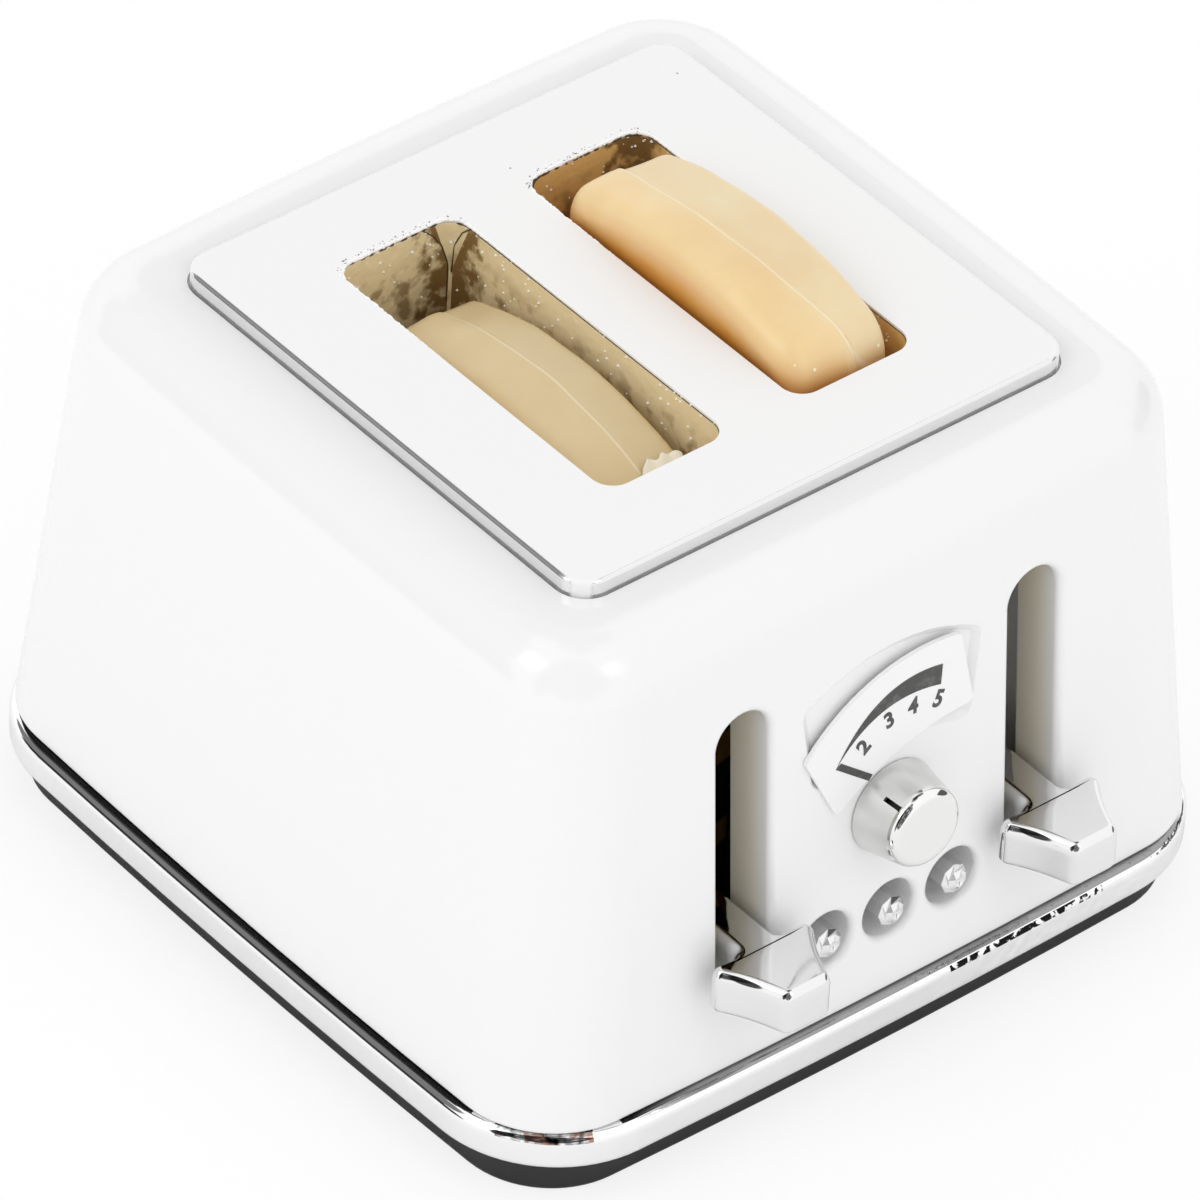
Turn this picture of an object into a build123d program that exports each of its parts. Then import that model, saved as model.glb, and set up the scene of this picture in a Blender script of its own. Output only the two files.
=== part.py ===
from build123d import *
import os
from math import cos, radians, sin, tan

# A miniature two-slice toaster for a dolls' kitchen, with slices of bread that lift out.
# Millimetres, +Z up, +X to the toaster's right as its front faces the reader, front towards -Y.
# The origin is the centre of the flat underside.

# The outer shape: a square body with bulging, leaning sides
WIDTH = 36.0
HEIGHT = 25.15
SIDE_BOW = 0.35
WALL_LEAN = 4.67
WALL = 2.4
ROOF = 1.6
HOUSING_CORNER = 4.2
SHOULDER_ROUND = 2.6
CAVITY_ROUND = 1.0
LEAST_CORNER = 0.3
FOOT_EDGE_ROUND = 0.15

# The black base plate and the chrome trim between it and the housing
BASE_HEIGHT = 1.75
BASE_INSET = 0.95
BASE_CORNER = 4.0
BASE_EDGE_ROUND = 0.25
TRIM_HEIGHT = 1.6
TRIM_CORNER = 5.47
TRIM_LEDGE = 0.47
TRIM_TOP_ROUND = 0.4
TRIM_UNDER_ROUND = 0.3
RIM_THICKNESS = 1.0
RIM_RISE = 0.65

# The four screws that hold the base plate, the guide frame and the housing together
SCREW_RADIUS = 0.8
SCREW_HEAD_RADIUS = 1.5
SCREW_HEAD_HEIGHT = 0.8
SCREW_GRIP = 5.0
SCREW_HEAD_RECESS = 0.15
BOSS_RADIUS = 2.0
BOSS_RIM_GAP = 0.4

# The chrome top plate with its two bread slots
PLATE_WIDTH = 24.1
PLATE_CORNER = 1.3
PLATE_PROUD = 0.7
PLATE_RECESS = 0.3
PLATE_EDGE_ROUND = 0.18
BREAD_X = 4.6
BREAD_SLOT_WIDTH = 5.9
BREAD_SLOT_LENGTH = 16.4
BREAD_SLOT_CORNER = 0.95
SLEEVE_WALL = 0.7
STAKE_RADIUS = 0.6
STAKE_HEAD_RADIUS = 1.05
STAKE_HEAD_HEIGHT = 0.5

# The slices of bread
BREAD_THICKNESS = 4.4
BREAD_LENGTH = 14.15
BREAD_LEFT_HEIGHT = 15.05
BREAD_RIGHT_HEIGHT = 17.9
BREAD_CREST_RISE = 1.4
BREAD_SHOULDER_ROUND = 1.7
BREAD_EDGE_ROUND = 1.3
BREAD_EDGE_SHARE = 0.4

# The guide frame: four grooved uprights on a flange
FLANGE_THICKNESS = 1.0
UPRIGHT_WIDTH = 2.6
UPRIGHT_DEPTH = 2.0
GROOVE_DEPTH = 1.3
CROSS_BAR_HEIGHT = 1.8
FRAME_TOP_GAP = 0.6

# The trays that carry the bread, and the tongues that run in the grooves
TRAY_FLOOR = 1.0
TRAY_LIP_HEIGHT = 0.8
TRAY_LIP_THICKNESS = 0.45
TRAY_END_THICKNESS = 0.8
TONGUE_WIDTH = 1.0
TONGUE_HEIGHT = 4.0
EAR_THICKNESS = 1.0
EAR_LENGTH = 2.8

# The levers
LEVER_BOTTOM = 7.4
LEVER_THICKNESS = 2.05
NECK_WIDTH = 1.86
PADDLE_BACK_WIDTH = 5.7
PADDLE_FRONT_WIDTH = 2.1
PADDLE_DEPTH = 3.1
PADDLE_SWEEP = 0.18
PADDLE_HOLLOW = 0.2
PADDLE_TIP_ROUND = 0.35
PADDLE_NOSE_ROUND = 0.55
PADDLE_EDGE_ROUND = 0.35
PADDLE_TIP_SHARE = 0.45
LEVER_WALL_GAP = 0.55
SLOT_EDGE_ROUND = 0.35
TRAY_SCREW_RADIUS = 0.45
TRAY_SCREW_HEAD_RADIUS = 0.8
TRAY_SCREW_HEAD_HEIGHT = 0.45
TRAY_SCREW_GRIP = 1.2

# The browning knob, its clip and its turning range, in degrees left and right of straight up
KNOB_Z = 12.0
KNOB_RADIUS = 2.0
KNOB_FRONT_RADIUS = 1.62
KNOB_LENGTH = 2.1
KNOB_ROUND = 0.4
KNOB_SHAFT_RADIUS = 0.75
KNOB_SHAFT_STUB = 0.25
KNOB_LOW_ANGLE = 40.0
KNOB_TURN = 67.0
POINTER_WIDTH = 0.2
POINTER_LENGTH = 0.8
POINTER_DEPTH = 0.15
CLIP_THICKNESS = 0.5
CLIP_RADIUS = 1.5
CLIP_ARM_REACH = 2.7
CLIP_ARM_WIDTH = 0.8
STOP_RIB_WIDTH = 0.6

# The three push buttons and their spring
BUTTON_DROP = 5.0
BUTTON_RADIUS = 0.65
BUTTON_HOLE_RADIUS = 1.25
BUTTON_HOLE_ROUND = 0.3
BUTTON_PROUD = 0.35
BUTTON_DOME_ROUND = 0.45
BUTTON_GROOVE_WIDTH = 0.14
BUTTON_GROOVE_DEPTH = 0.1
FLANGE_LAP = 0.17
BUTTON_FLANGE = 0.45
SPRING_THICKNESS = 0.15
SPRING_BAR_HEIGHT = 1.0
SPRING_FINGER_WIDTH = 1.1
SPRING_STAKE_RADIUS = 0.3
SPRING_STAKE_HEAD_RADIUS = 0.48

# The scale plate over the knob and the shallow recess behind it
SCALE_TILT = 18.5
SCALE_SHIFT = 1.12
SCALE_HALF_TOP = 4.02
SCALE_HALF_FOOT = 3.55
SCALE_HEIGHT = 3.45
SCALE_TOP_RISE = 1.09
SCALE_FOOT_RISE = 0.63
SCALE_THICKNESS = 0.2
SCALE_CORNER = 0.25
SCALE_KNOB_GAP = 0.42
RECESS_GROWTH = 0.05
RECESS_LIFT = 0.85
RECESS_DEPTH = 0.25
RECESS_FLARE = 55.0

# Clearances between pieces
RUNNING_GAP = 0.06
SEAT_GAP = 0.1
GUIDE_GAP = 0.1
END_GAP = 0.05
SIDE_GAP = 0.3
SLOT_GAP = 0.33
SLOT_END_GAP = 0.7
TRAVEL_END_GAP = 0.4
BREAD_GAP = 0.15
BREAD_END_GAP = 0.35

# Levels from the underside up
screw_seat = SCREW_HEAD_RECESS + SCREW_HEAD_HEIGHT
trim_top = BASE_HEIGHT + TRIM_HEIGHT
rim_top = trim_top + RIM_RISE
roof_top = HEIGHT - PLATE_PROUD
roof_under = roof_top - ROOF
plate_bottom = roof_top - PLATE_RECESS
flange_top = BASE_HEIGHT + FLANGE_THICKNESS

# Half widths of the body, each at the middle of a side
lean = tan(radians(WALL_LEAN))
wall_depth = WALL * cos(radians(WALL_LEAN))
foot_half = WIDTH / 2 - TRIM_LEDGE
cavity_half = foot_half - WALL
cavity_corner = max(HOUSING_CORNER - WALL, LEAST_CORNER)
rim_half = cavity_half - SEAT_GAP
rim_inner_half = rim_half - RIM_THICKNESS
flange_half = rim_inner_half - SIDE_GAP
boss_place = rim_inner_half - BOSS_RADIUS - BOSS_RIM_GAP

# Places of the bread slots, the uprights and the levers
sleeve_half_width = BREAD_SLOT_WIDTH / 2 + SLEEVE_WALL
sleeve_half_length = BREAD_SLOT_LENGTH / 2 + SLEEVE_WALL
upright_face = sleeve_half_length + TRAVEL_END_GAP
stake_place = (sleeve_half_length + PLATE_WIDTH / 2) / 2
lever_x = BREAD_X + UPRIGHT_WIDTH / 2 + SIDE_GAP + NECK_WIDTH / 2

# Heights of the moving trays at rest, and how far they travel
lever_top = LEVER_BOTTOM + LEVER_THICKNESS
tray_top = lever_top
lip_top = tray_top + TRAY_LIP_HEIGHT
tongue_bottom = lip_top + SIDE_GAP + END_GAP - TONGUE_HEIGHT
tongue_top = tongue_bottom + TONGUE_HEIGHT
cross_bar_top = roof_under - STAKE_HEAD_HEIGHT - FRAME_TOP_GAP
groove_bottom = tongue_bottom - END_GAP
groove_top = cross_bar_top - CROSS_BAR_HEIGHT
lever_travel = groove_top - END_GAP - tongue_top
sleeve_bottom = lip_top + lever_travel + TRAVEL_END_GAP
tray_end = upright_face - TRAVEL_END_GAP
bread_front = -(tray_end - TRAY_END_THICKNESS - BREAD_END_GAP)
ear_y = -(tray_end + EAR_LENGTH / 2)
paddle_back = -(foot_half - (LEVER_BOTTOM - trim_top) * lean + LEVER_WALL_GAP)

# Places on the front wall
button_z = KNOB_Z - BUTTON_DROP
button_flange_radius = BUTTON_HOLE_RADIUS + FLANGE_LAP
button_pitch = 2 * button_flange_radius + SIDE_GAP
button_places = {"left": -button_pitch, "middle": 0.0, "right": button_pitch}
finger_depth = wall_depth + END_GAP + BUTTON_FLANGE
clip_depth = wall_depth + RUNNING_GAP
spring_bar_bottom = rim_top + SIDE_GAP
spring_bar_z = spring_bar_bottom + SPRING_BAR_HEIGHT / 2
spring_stakes = (-button_pitch / 2, button_pitch / 2)


def housing_half(z):
    """Half the housing's width at height z, at the middle of a side."""
    return foot_half - (z - trim_top) * lean


def sharp_square(half, z):
    """A level face at height z: a square whose sides bulge by SIDE_BOW, `half` out at most."""
    corner = half - SIDE_BOW
    side = ThreePointArc((-corner, -corner), (0, -half), (corner, -corner))
    return Pos(Z=z) * make_face([Rot(Z=90 * turn) * side for turn in range(4)])


def bowed_square(half, corner_radius, z):
    """The same bulging square with round corners."""
    face = sharp_square(half, z)
    return fillet(face.vertices(), corner_radius)


def leaning_block(inset, corner_radius, bottom, top, round_radius):
    """A block whose sides lean like the housing's, inset from them, its top edge rounded."""
    foot = sharp_square(housing_half(bottom) - inset, bottom)
    block = extrude(foot, top - bottom, taper=WALL_LEAN)
    corners = [edge for edge in block.edges() if edge.bounding_box().size.Z > (top - bottom) / 2]
    block = fillet(corners, corner_radius)
    return fillet(block.faces().sort_by(Axis.Z)[-1].edges(), round_radius)


def upright_box(x_range, y_range, z_range):
    """A box between two values on each axis."""
    size = [high - low for low, high in (x_range, y_range, z_range)]
    middle = [(high + low) / 2 for low, high in (x_range, y_range, z_range)]
    return Pos(*middle) * Box(*size)


def rod(x, y, radius, bottom, top):
    """An upright round rod between two heights."""
    return Pos(x, y, (bottom + top) / 2) * Cylinder(radius, top - bottom)


def front_plane(x, z, depth=0.0):
    """The front wall's outer face at x and z, moved in by depth; its own z points outwards."""
    outwards = (0, -cos(radians(WALL_LEAN)), sin(radians(WALL_LEAN)))
    face = Plane(origin=(x, -housing_half(z), z), x_dir=(1, 0, 0), z_dir=outwards)
    return face.offset(-depth)


def front_rod(x, z, radius, start_depth, end_depth):
    """A round rod square to the front wall, from one depth behind its face to another."""
    face = front_plane(x, z, end_depth) * Circle(radius)
    return extrude(face, end_depth - start_depth)


def clock_turn(angle):
    """A turn about the knob's axis, in degrees to the right of straight up."""
    return Rot(Z=-angle)


def banner(half_top, half_foot, foot, height, top_rise, foot_rise):
    """A flat banner with an arched top and foot, its middle over the knob's axis."""
    top = foot + height
    upper = ThreePointArc((-half_top, top), (0, top + top_rise), (half_top, top))
    lower = ThreePointArc((half_foot, foot), (0, foot + foot_rise), (-half_foot, foot))
    right = Line((half_top, top), (half_foot, foot))
    left = Line((-half_foot, foot), (-half_top, top))
    outline = make_face([upper, right, lower, left])
    return fillet(outline.vertices(), SCALE_CORNER)


def corner_places():
    """The four corners where the screws stand."""
    return [(x, y) for x in (-boss_place, boss_place) for y in (-boss_place, boss_place)]


def stake_places():
    """The places of the top plate's four stakes."""
    return [(0, -stake_place), (0, stake_place), (-stake_place, 0), (stake_place, 0)]


def lever_slot(x):
    """The slot in the front wall that a lever's neck runs in."""
    width = NECK_WIDTH + 2 * SLOT_GAP
    bottom = LEVER_BOTTOM - SLOT_END_GAP
    height = lever_top + lever_travel + SLOT_END_GAP - bottom
    outline = Plane.XZ * Pos(x, bottom + height / 2) * Rot(Z=90) * SlotOverall(height, width)
    return Pos(Y=-cavity_half + 4 * WALL) * extrude(outline, 8 * WALL)


def knob_stop_ribs():
    """Two ribs inside the front wall that the knob clip's arm turns between."""
    reach = (CLIP_RADIUS + CLIP_ARM_REACH) / 2
    length = CLIP_ARM_REACH - CLIP_RADIUS
    depth = RUNNING_GAP + CLIP_THICKNESS
    shoulder = (CLIP_ARM_WIDTH + STOP_RIB_WIDTH) / 2
    ribs = []
    for angle, side in ((-KNOB_LOW_ANGLE, -1), (KNOB_TURN - KNOB_LOW_ANGLE, 1)):
        offset = side * (shoulder + END_GAP)
        rib = Pos(offset, reach, -depth / 2) * Box(STOP_RIB_WIDTH, length, depth)
        ribs.append(front_plane(0, KNOB_Z, wall_depth) * clock_turn(angle) * rib)
    return ribs


def scale_recess():
    """The shallow recess in the front wall behind the scale plate."""
    foot = KNOB_RADIUS + SCALE_KNOB_GAP - SCALE_FOOT_RISE + RECESS_LIFT
    outline = banner(SCALE_HALF_TOP + RECESS_GROWTH, SCALE_HALF_FOOT + RECESS_GROWTH, foot,
                     SCALE_HEIGHT, SCALE_TOP_RISE, SCALE_FOOT_RISE)
    return extrude(front_plane(0, KNOB_Z, RECESS_DEPTH) * outline, 2 * RECESS_DEPTH,
                   taper=-RECESS_FLARE)


def is_slot_rim(edge):
    """Whether an edge is where a lever slot meets the housing's outer face."""
    middle = edge.bounding_box().center()
    return abs(abs(middle.X) - lever_x) < NECK_WIDTH and middle.Y < -cavity_half


def is_button_rim(edge):
    """Whether an edge is where a button hole meets the housing's outer face."""
    middle = edge.bounding_box().center()
    beside = min(abs(middle.X - x) for x in button_places.values())
    near = max(beside, abs(middle.Z - button_z)) < BUTTON_HOLE_RADIUS / 2
    return near and middle.Y < -housing_half(button_z) + wall_depth / 2


def spring_stake(x):
    """A shouldered pin inside the front wall, its end spread over the button spring."""
    z = spring_bar_z
    spring_back = finger_depth + SPRING_THICKNESS
    head_end = spring_back + SPRING_STAKE_RADIUS
    shoulder = front_rod(x, z, 2 * SPRING_STAKE_RADIUS, wall_depth - END_GAP, finger_depth)
    pin = front_rod(x, z, SPRING_STAKE_RADIUS, finger_depth - END_GAP, spring_back)
    head = front_rod(x, z, SPRING_STAKE_HEAD_RADIUS, spring_back, head_end)
    return shoulder + pin + head


def make_housing():
    """The white shell, with its screw bosses, stop ribs and spring stakes inside."""
    shell = leaning_block(0, HOUSING_CORNER, trim_top, roof_top, SHOULDER_ROUND)
    shell = fillet(shell.faces().sort_by(Axis.Z)[0].edges(), FOOT_EDGE_ROUND)
    for x in (-lever_x, lever_x):
        shell -= lever_slot(x)
    shell = fillet(shell.edges().filter_by(is_slot_rim), SLOT_EDGE_ROUND)
    shell -= scale_recess()
    shell -= leaning_block(WALL, cavity_corner, trim_top, roof_under, CAVITY_ROUND)
    for x, y in corner_places():
        shell += rod(x, y, BOSS_RADIUS, flange_top, roof_top - ROOF / 2)
    for x in (-BREAD_X, BREAD_X):
        shell -= sleeve_block(x, SLEEVE_WALL + BREAD_GAP, roof_under - ROOF, HEIGHT)
    seat_width = PLATE_WIDTH + 2 * SEAT_GAP
    seat = Pos(Z=plate_bottom) * RectangleRounded(seat_width, seat_width, PLATE_CORNER + SEAT_GAP)
    shell -= extrude(seat, ROOF)
    for x, y in stake_places():
        shell -= rod(x, y, STAKE_RADIUS + RUNNING_GAP, roof_under - ROOF, roof_top)
    for x, y in corner_places():
        shell -= rod(x, y, SCREW_RADIUS, trim_top - ROOF, flange_top + SCREW_GRIP + SIDE_GAP)
    shell -= front_rod(0, KNOB_Z, KNOB_SHAFT_RADIUS + RUNNING_GAP, -WALL, 2 * WALL)
    for x in button_places.values():
        shell -= front_rod(x, button_z, BUTTON_HOLE_RADIUS, -WALL, 2 * WALL)
    shell = fillet(shell.edges().filter_by(is_button_rim), BUTTON_HOLE_ROUND)
    for x in spring_stakes:
        shell += spring_stake(x)
    for rib in knob_stop_ribs():
        shell += rib
    return shell


def sleeve_block(x, growth, bottom, top):
    """An upright block round a bread slot, grown from the slot's outline."""
    outline = RectangleRounded(BREAD_SLOT_WIDTH + 2 * growth, BREAD_SLOT_LENGTH + 2 * growth,
                               BREAD_SLOT_CORNER + growth)
    return extrude(Pos(x, 0, bottom) * outline, top - bottom)


def make_top_plate():
    """The chrome top plate: two bread slots with sleeves below, and four spread stakes."""
    outline = Pos(Z=plate_bottom) * RectangleRounded(PLATE_WIDTH, PLATE_WIDTH, PLATE_CORNER)
    plate = extrude(outline, HEIGHT - plate_bottom)
    plate = fillet(plate.faces().sort_by(Axis.Z)[-1].edges(), PLATE_EDGE_ROUND)
    for x in (-BREAD_X, BREAD_X):
        plate += sleeve_block(x, SLEEVE_WALL, sleeve_bottom, plate_bottom)
    for x, y in stake_places():
        plate += rod(x, y, STAKE_RADIUS, roof_under, plate_bottom)
        plate += rod(x, y, STAKE_HEAD_RADIUS, roof_under - STAKE_HEAD_HEIGHT, roof_under)
    for x in (-BREAD_X, BREAD_X):
        plate -= sleeve_block(x, 0, sleeve_bottom - ROOF, HEIGHT + ROOF)
    return plate


def make_base_trim():
    """The chrome band round the foot, clamped between the base plate and the housing."""
    outer = extrude(bowed_square(WIDTH / 2, TRIM_CORNER, BASE_HEIGHT), TRIM_HEIGHT)
    outer = fillet(outer.faces().sort_by(Axis.Z)[-1].edges(), TRIM_TOP_ROUND)
    outer = fillet(outer.faces().sort_by(Axis.Z)[0].edges(), TRIM_UNDER_ROUND)
    return outer - extrude(bowed_square(cavity_half, cavity_corner, 0), HEIGHT)


def make_base_plate():
    """The black base with the rim that centres the trim and the housing on it."""
    slab = extrude(bowed_square(WIDTH / 2 - BASE_INSET, BASE_CORNER, 0), BASE_HEIGHT)
    slab = fillet(slab.faces().sort_by(Axis.Z)[0].edges(), BASE_EDGE_ROUND)
    rim = extrude(bowed_square(rim_half, cavity_corner, BASE_HEIGHT), rim_top - BASE_HEIGHT)
    rim_corner = max(cavity_corner - RIM_THICKNESS, LEAST_CORNER)
    rim -= extrude(bowed_square(rim_inner_half, rim_corner, BASE_HEIGHT), rim_top)
    base = slab + rim
    for x, y in corner_places():
        base -= rod(x, y, SCREW_RADIUS + SEAT_GAP, -BASE_HEIGHT, 2 * BASE_HEIGHT)
        base -= rod(x, y, SCREW_HEAD_RADIUS + SEAT_GAP, -BASE_HEIGHT, screw_seat)
    return base


def make_base_screws():
    """The four self-tapping screws that come up through the base plate's corners."""
    screws = []
    for x, y in corner_places():
        head = rod(x, y, SCREW_HEAD_RADIUS, SCREW_HEAD_RECESS, screw_seat)
        head = chamfer(head.faces().sort_by(Axis.Z)[0].edges(), SCREW_HEAD_HEIGHT / 3)
        shank = rod(x, y, SCREW_RADIUS, screw_seat, flange_top + SCREW_GRIP)
        shank = chamfer(shank.faces().sort_by(Axis.Z)[-1].edges(), SCREW_RADIUS / 2)
        drive = Box(SCREW_HEAD_RADIUS, SCREW_RADIUS / 3, SCREW_HEAD_HEIGHT)
        drive += Box(SCREW_RADIUS / 3, SCREW_HEAD_RADIUS, SCREW_HEAD_HEIGHT)
        screws.append(head + shank - Pos(x, y, SCREW_HEAD_RECESS) * drive)
    return Compound(screws)


def make_guide_frame():
    """The black frame inside: a flange under the screw bosses and four grooved uprights."""
    flange = extrude(bowed_square(flange_half, BOSS_RADIUS, BASE_HEIGHT), FLANGE_THICKNESS)
    window = BREAD_X + UPRIGHT_WIDTH
    flange -= upright_box((-window, window), (-tray_end, tray_end), (0, HEIGHT))
    for x, y in corner_places():
        flange -= rod(x, y, SCREW_RADIUS + SEAT_GAP, 0, HEIGHT)
    frame = flange
    half = UPRIGHT_WIDTH / 2
    for side in (-1, 1):
        near, far = sorted((side * upright_face, side * (upright_face + UPRIGHT_DEPTH)))
        for x in (-BREAD_X, BREAD_X):
            frame += upright_box((x - half, x + half), (near, far), (flange_top, cross_bar_top))
        frame += upright_box((-BREAD_X, BREAD_X), (near, far), (groove_top, cross_bar_top))
    for x in (-BREAD_X, BREAD_X):
        groove = TONGUE_WIDTH / 2 + GUIDE_GAP
        reach = upright_face + GROOVE_DEPTH
        frame -= upright_box((x - groove, x + groove), (-reach, reach), (groove_bottom, groove_top))
    return frame


def make_tray():
    """The right-hand bread tray: a lipped floor, its end plates, tongues and lever ear."""
    half_inner = BREAD_THICKNESS / 2 + BREAD_GAP
    half_outer = half_inner + TRAY_LIP_THICKNESS
    floor_bottom = tray_top - TRAY_FLOOR
    body = (BREAD_X - half_outer, BREAD_X + half_outer)
    tray = upright_box(body, (-tray_end, tray_end), (floor_bottom, lip_top))
    trough = (BREAD_X - half_inner, BREAD_X + half_inner)
    trough_end = tray_end - TRAY_END_THICKNESS
    tray -= upright_box(trough, (-trough_end, trough_end), (tray_top, HEIGHT))
    tongue = (BREAD_X - TONGUE_WIDTH / 2, BREAD_X + TONGUE_WIDTH / 2)
    tongue_tip = upright_face + GROOVE_DEPTH - BREAD_GAP
    stem = tray_end - TRAY_END_THICKNESS
    for side in (-1, 1):
        near, far = sorted((side * stem, side * tongue_tip))
        tray += upright_box(tongue, (near, far), (tongue_bottom, floor_bottom))
        near, far = sorted((side * tray_end, side * tongue_tip))
        tray += upright_box(tongue, (near, far), (floor_bottom, tongue_top))
    ear = (lever_x - NECK_WIDTH / 2, lever_x + NECK_WIDTH / 2)
    ear_bottom = LEVER_BOTTOM - EAR_THICKNESS
    tray += upright_box(ear, (-tray_end - EAR_LENGTH, -stem), (ear_bottom, LEVER_BOTTOM))
    tray += upright_box((BREAD_X, lever_x + NECK_WIDTH / 2), (-tray_end, -stem), (ear_bottom, lip_top))
    return tray - rod(lever_x, ear_y, TRAY_SCREW_RADIUS + RUNNING_GAP, 0, HEIGHT)


def paddle_outline():
    """The lever's paddle from above: two swept wings and a narrower blunt front."""
    back_half = PADDLE_BACK_WIDTH / 2
    front_half = PADDLE_FRONT_WIDTH / 2
    neck_half = NECK_WIDTH / 2
    front = paddle_back - PADDLE_DEPTH
    wing = paddle_back + PADDLE_SWEEP
    hollow_x = (back_half + front_half) / 2 - PADDLE_HOLLOW
    hollow_y = (wing + front) / 2 + PADDLE_HOLLOW / 2
    right_flank = ThreePointArc((back_half, wing), (hollow_x, hollow_y), (front_half, front))
    left_flank = ThreePointArc((-front_half, front), (-hollow_x, hollow_y), (-back_half, wing))
    edges = [
        Line((-neck_half, paddle_back), (neck_half, paddle_back)),
        Line((neck_half, paddle_back), (back_half, wing)),
        right_flank,
        Line((front_half, front), (-front_half, front)),
        left_flank,
        Line((-back_half, wing), (-neck_half, paddle_back)),
    ]
    return make_face(edges)


def make_lever():
    """The right-hand chrome lever: the paddle outside and the neck that runs in to the tray."""
    paddle = extrude(Pos(lever_x, 0, LEVER_BOTTOM) * paddle_outline(), LEVER_THICKNESS)
    paddle = fillet(paddle.edges().filter_by(Axis.Z).sort_by(Axis.Y)[:2], PADDLE_NOSE_ROUND)
    reach = PADDLE_TIP_SHARE * PADDLE_BACK_WIDTH
    uprights = paddle.edges().filter_by(Axis.Z)
    tips = [edge for edge in uprights if abs(edge.center().X - lever_x) > reach]
    paddle = fillet(tips, PADDLE_TIP_ROUND)
    for face in (paddle.faces().sort_by(Axis.Z)[-1], paddle.faces().sort_by(Axis.Z)[0]):
        rims = [edge for edge in face.edges() if edge.center().Y < paddle_back + PADDLE_SWEEP / 3]
        paddle = fillet(rims, PADDLE_EDGE_ROUND)
    neck_side = (lever_x - NECK_WIDTH / 2, lever_x + NECK_WIDTH / 2)
    neck_start = paddle_back - PADDLE_EDGE_ROUND
    neck = upright_box(neck_side, (neck_start, -tray_end - END_GAP), (LEVER_BOTTOM, lever_top))
    lever = paddle + neck
    return lever - rod(lever_x, ear_y, TRAY_SCREW_RADIUS, 0, LEVER_BOTTOM + TRAY_SCREW_GRIP + END_GAP)


def make_tray_screw():
    """The right-hand small screw that holds the lever's neck down on the tray's ear."""
    head_top = LEVER_BOTTOM - EAR_THICKNESS
    head = rod(lever_x, ear_y, TRAY_SCREW_HEAD_RADIUS, head_top - TRAY_SCREW_HEAD_HEIGHT, head_top)
    head = chamfer(head.faces().sort_by(Axis.Z)[0].edges(), TRAY_SCREW_HEAD_HEIGHT / 3)
    shank = rod(lever_x, ear_y, TRAY_SCREW_RADIUS, head_top, LEVER_BOTTOM + TRAY_SCREW_GRIP)
    return head + shank


def make_bread(x, height):
    """A slice of bread on edge, with a domed top and softly rounded crust."""
    back = bread_front + BREAD_LENGTH
    shoulder = tray_top + height - BREAD_CREST_RISE
    crest = ((bread_front + back) / 2, tray_top + height)
    outline = make_face([
        Line((bread_front, tray_top), (back, tray_top)),
        Line((back, tray_top), (back, shoulder)),
        ThreePointArc((back, shoulder), crest, (bread_front, shoulder)),
        Line((bread_front, shoulder), (bread_front, tray_top)),
    ])
    outline = fillet(outline.vertices().sort_by(Axis.Y)[-2:], BREAD_SHOULDER_ROUND)
    slice_body = extrude(Plane.YZ * outline, BREAD_THICKNESS / 2, both=True)
    rims = slice_body.edges().filter_by(Axis.X, reverse=True)
    edge_round = min(BREAD_EDGE_ROUND, BREAD_EDGE_SHARE * BREAD_THICKNESS)
    slice_body = fillet([e for e in rims if e.center().Z > tray_top + END_GAP], edge_round)
    return Pos(X=x) * slice_body


def make_knob():
    """The browning knob: a tapered chrome barrel with a pointer groove, and its shaft."""
    centre = RUNNING_GAP + KNOB_LENGTH / 2
    barrel = Pos(Z=centre) * Cone(KNOB_RADIUS, KNOB_FRONT_RADIUS, KNOB_LENGTH)
    barrel = fillet(barrel.faces().sort_by(Axis.Z)[-1].edges(), KNOB_ROUND)
    groove_z = RUNNING_GAP + KNOB_LENGTH - KNOB_ROUND - POINTER_LENGTH / 2
    groove = Box(POINTER_WIDTH, 2 * POINTER_DEPTH, POINTER_LENGTH)
    barrel -= clock_turn(-KNOB_LOW_ANGLE) * Pos(0, KNOB_FRONT_RADIUS + POINTER_DEPTH / 2, groove_z) * groove
    shaft_end = clip_depth + CLIP_THICKNESS + KNOB_SHAFT_STUB
    shaft = Pos(Z=(RUNNING_GAP - shaft_end) / 2) * Cylinder(KNOB_SHAFT_RADIUS, shaft_end + RUNNING_GAP)
    return front_plane(0, KNOB_Z) * (barrel + shaft)


def make_knob_clip():
    """The ring pressed on the knob's shaft inside the wall, with the arm that meets the ribs."""
    ring = Cylinder(CLIP_RADIUS, CLIP_THICKNESS)
    arm = Pos(0, CLIP_ARM_REACH / 2) * Box(CLIP_ARM_WIDTH, CLIP_ARM_REACH, CLIP_THICKNESS)
    clip = ring + clock_turn(-KNOB_LOW_ANGLE) * arm
    clip -= Cylinder(KNOB_SHAFT_RADIUS, 2 * CLIP_THICKNESS)
    return front_plane(0, KNOB_Z, clip_depth + CLIP_THICKNESS / 2) * clip


def make_button(x):
    """A chrome push button: a domed stud with a crossed face, and the flange that keeps it in."""
    stud = front_rod(x, button_z, BUTTON_RADIUS, -BUTTON_PROUD, wall_depth + END_GAP)
    rim = stud.edges().sort_by(lambda edge: edge.center().Y)[0]
    stud = fillet(rim, BUTTON_DOME_ROUND)
    cross = Box(2 * BUTTON_RADIUS, BUTTON_GROOVE_WIDTH, 2 * BUTTON_GROOVE_DEPTH)
    cross += Box(BUTTON_GROOVE_WIDTH, 2 * BUTTON_RADIUS, 2 * BUTTON_GROOVE_DEPTH)
    stud -= front_plane(x, button_z, -BUTTON_PROUD) * cross
    return stud + front_rod(x, button_z, button_flange_radius, wall_depth + END_GAP, finger_depth)


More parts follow.
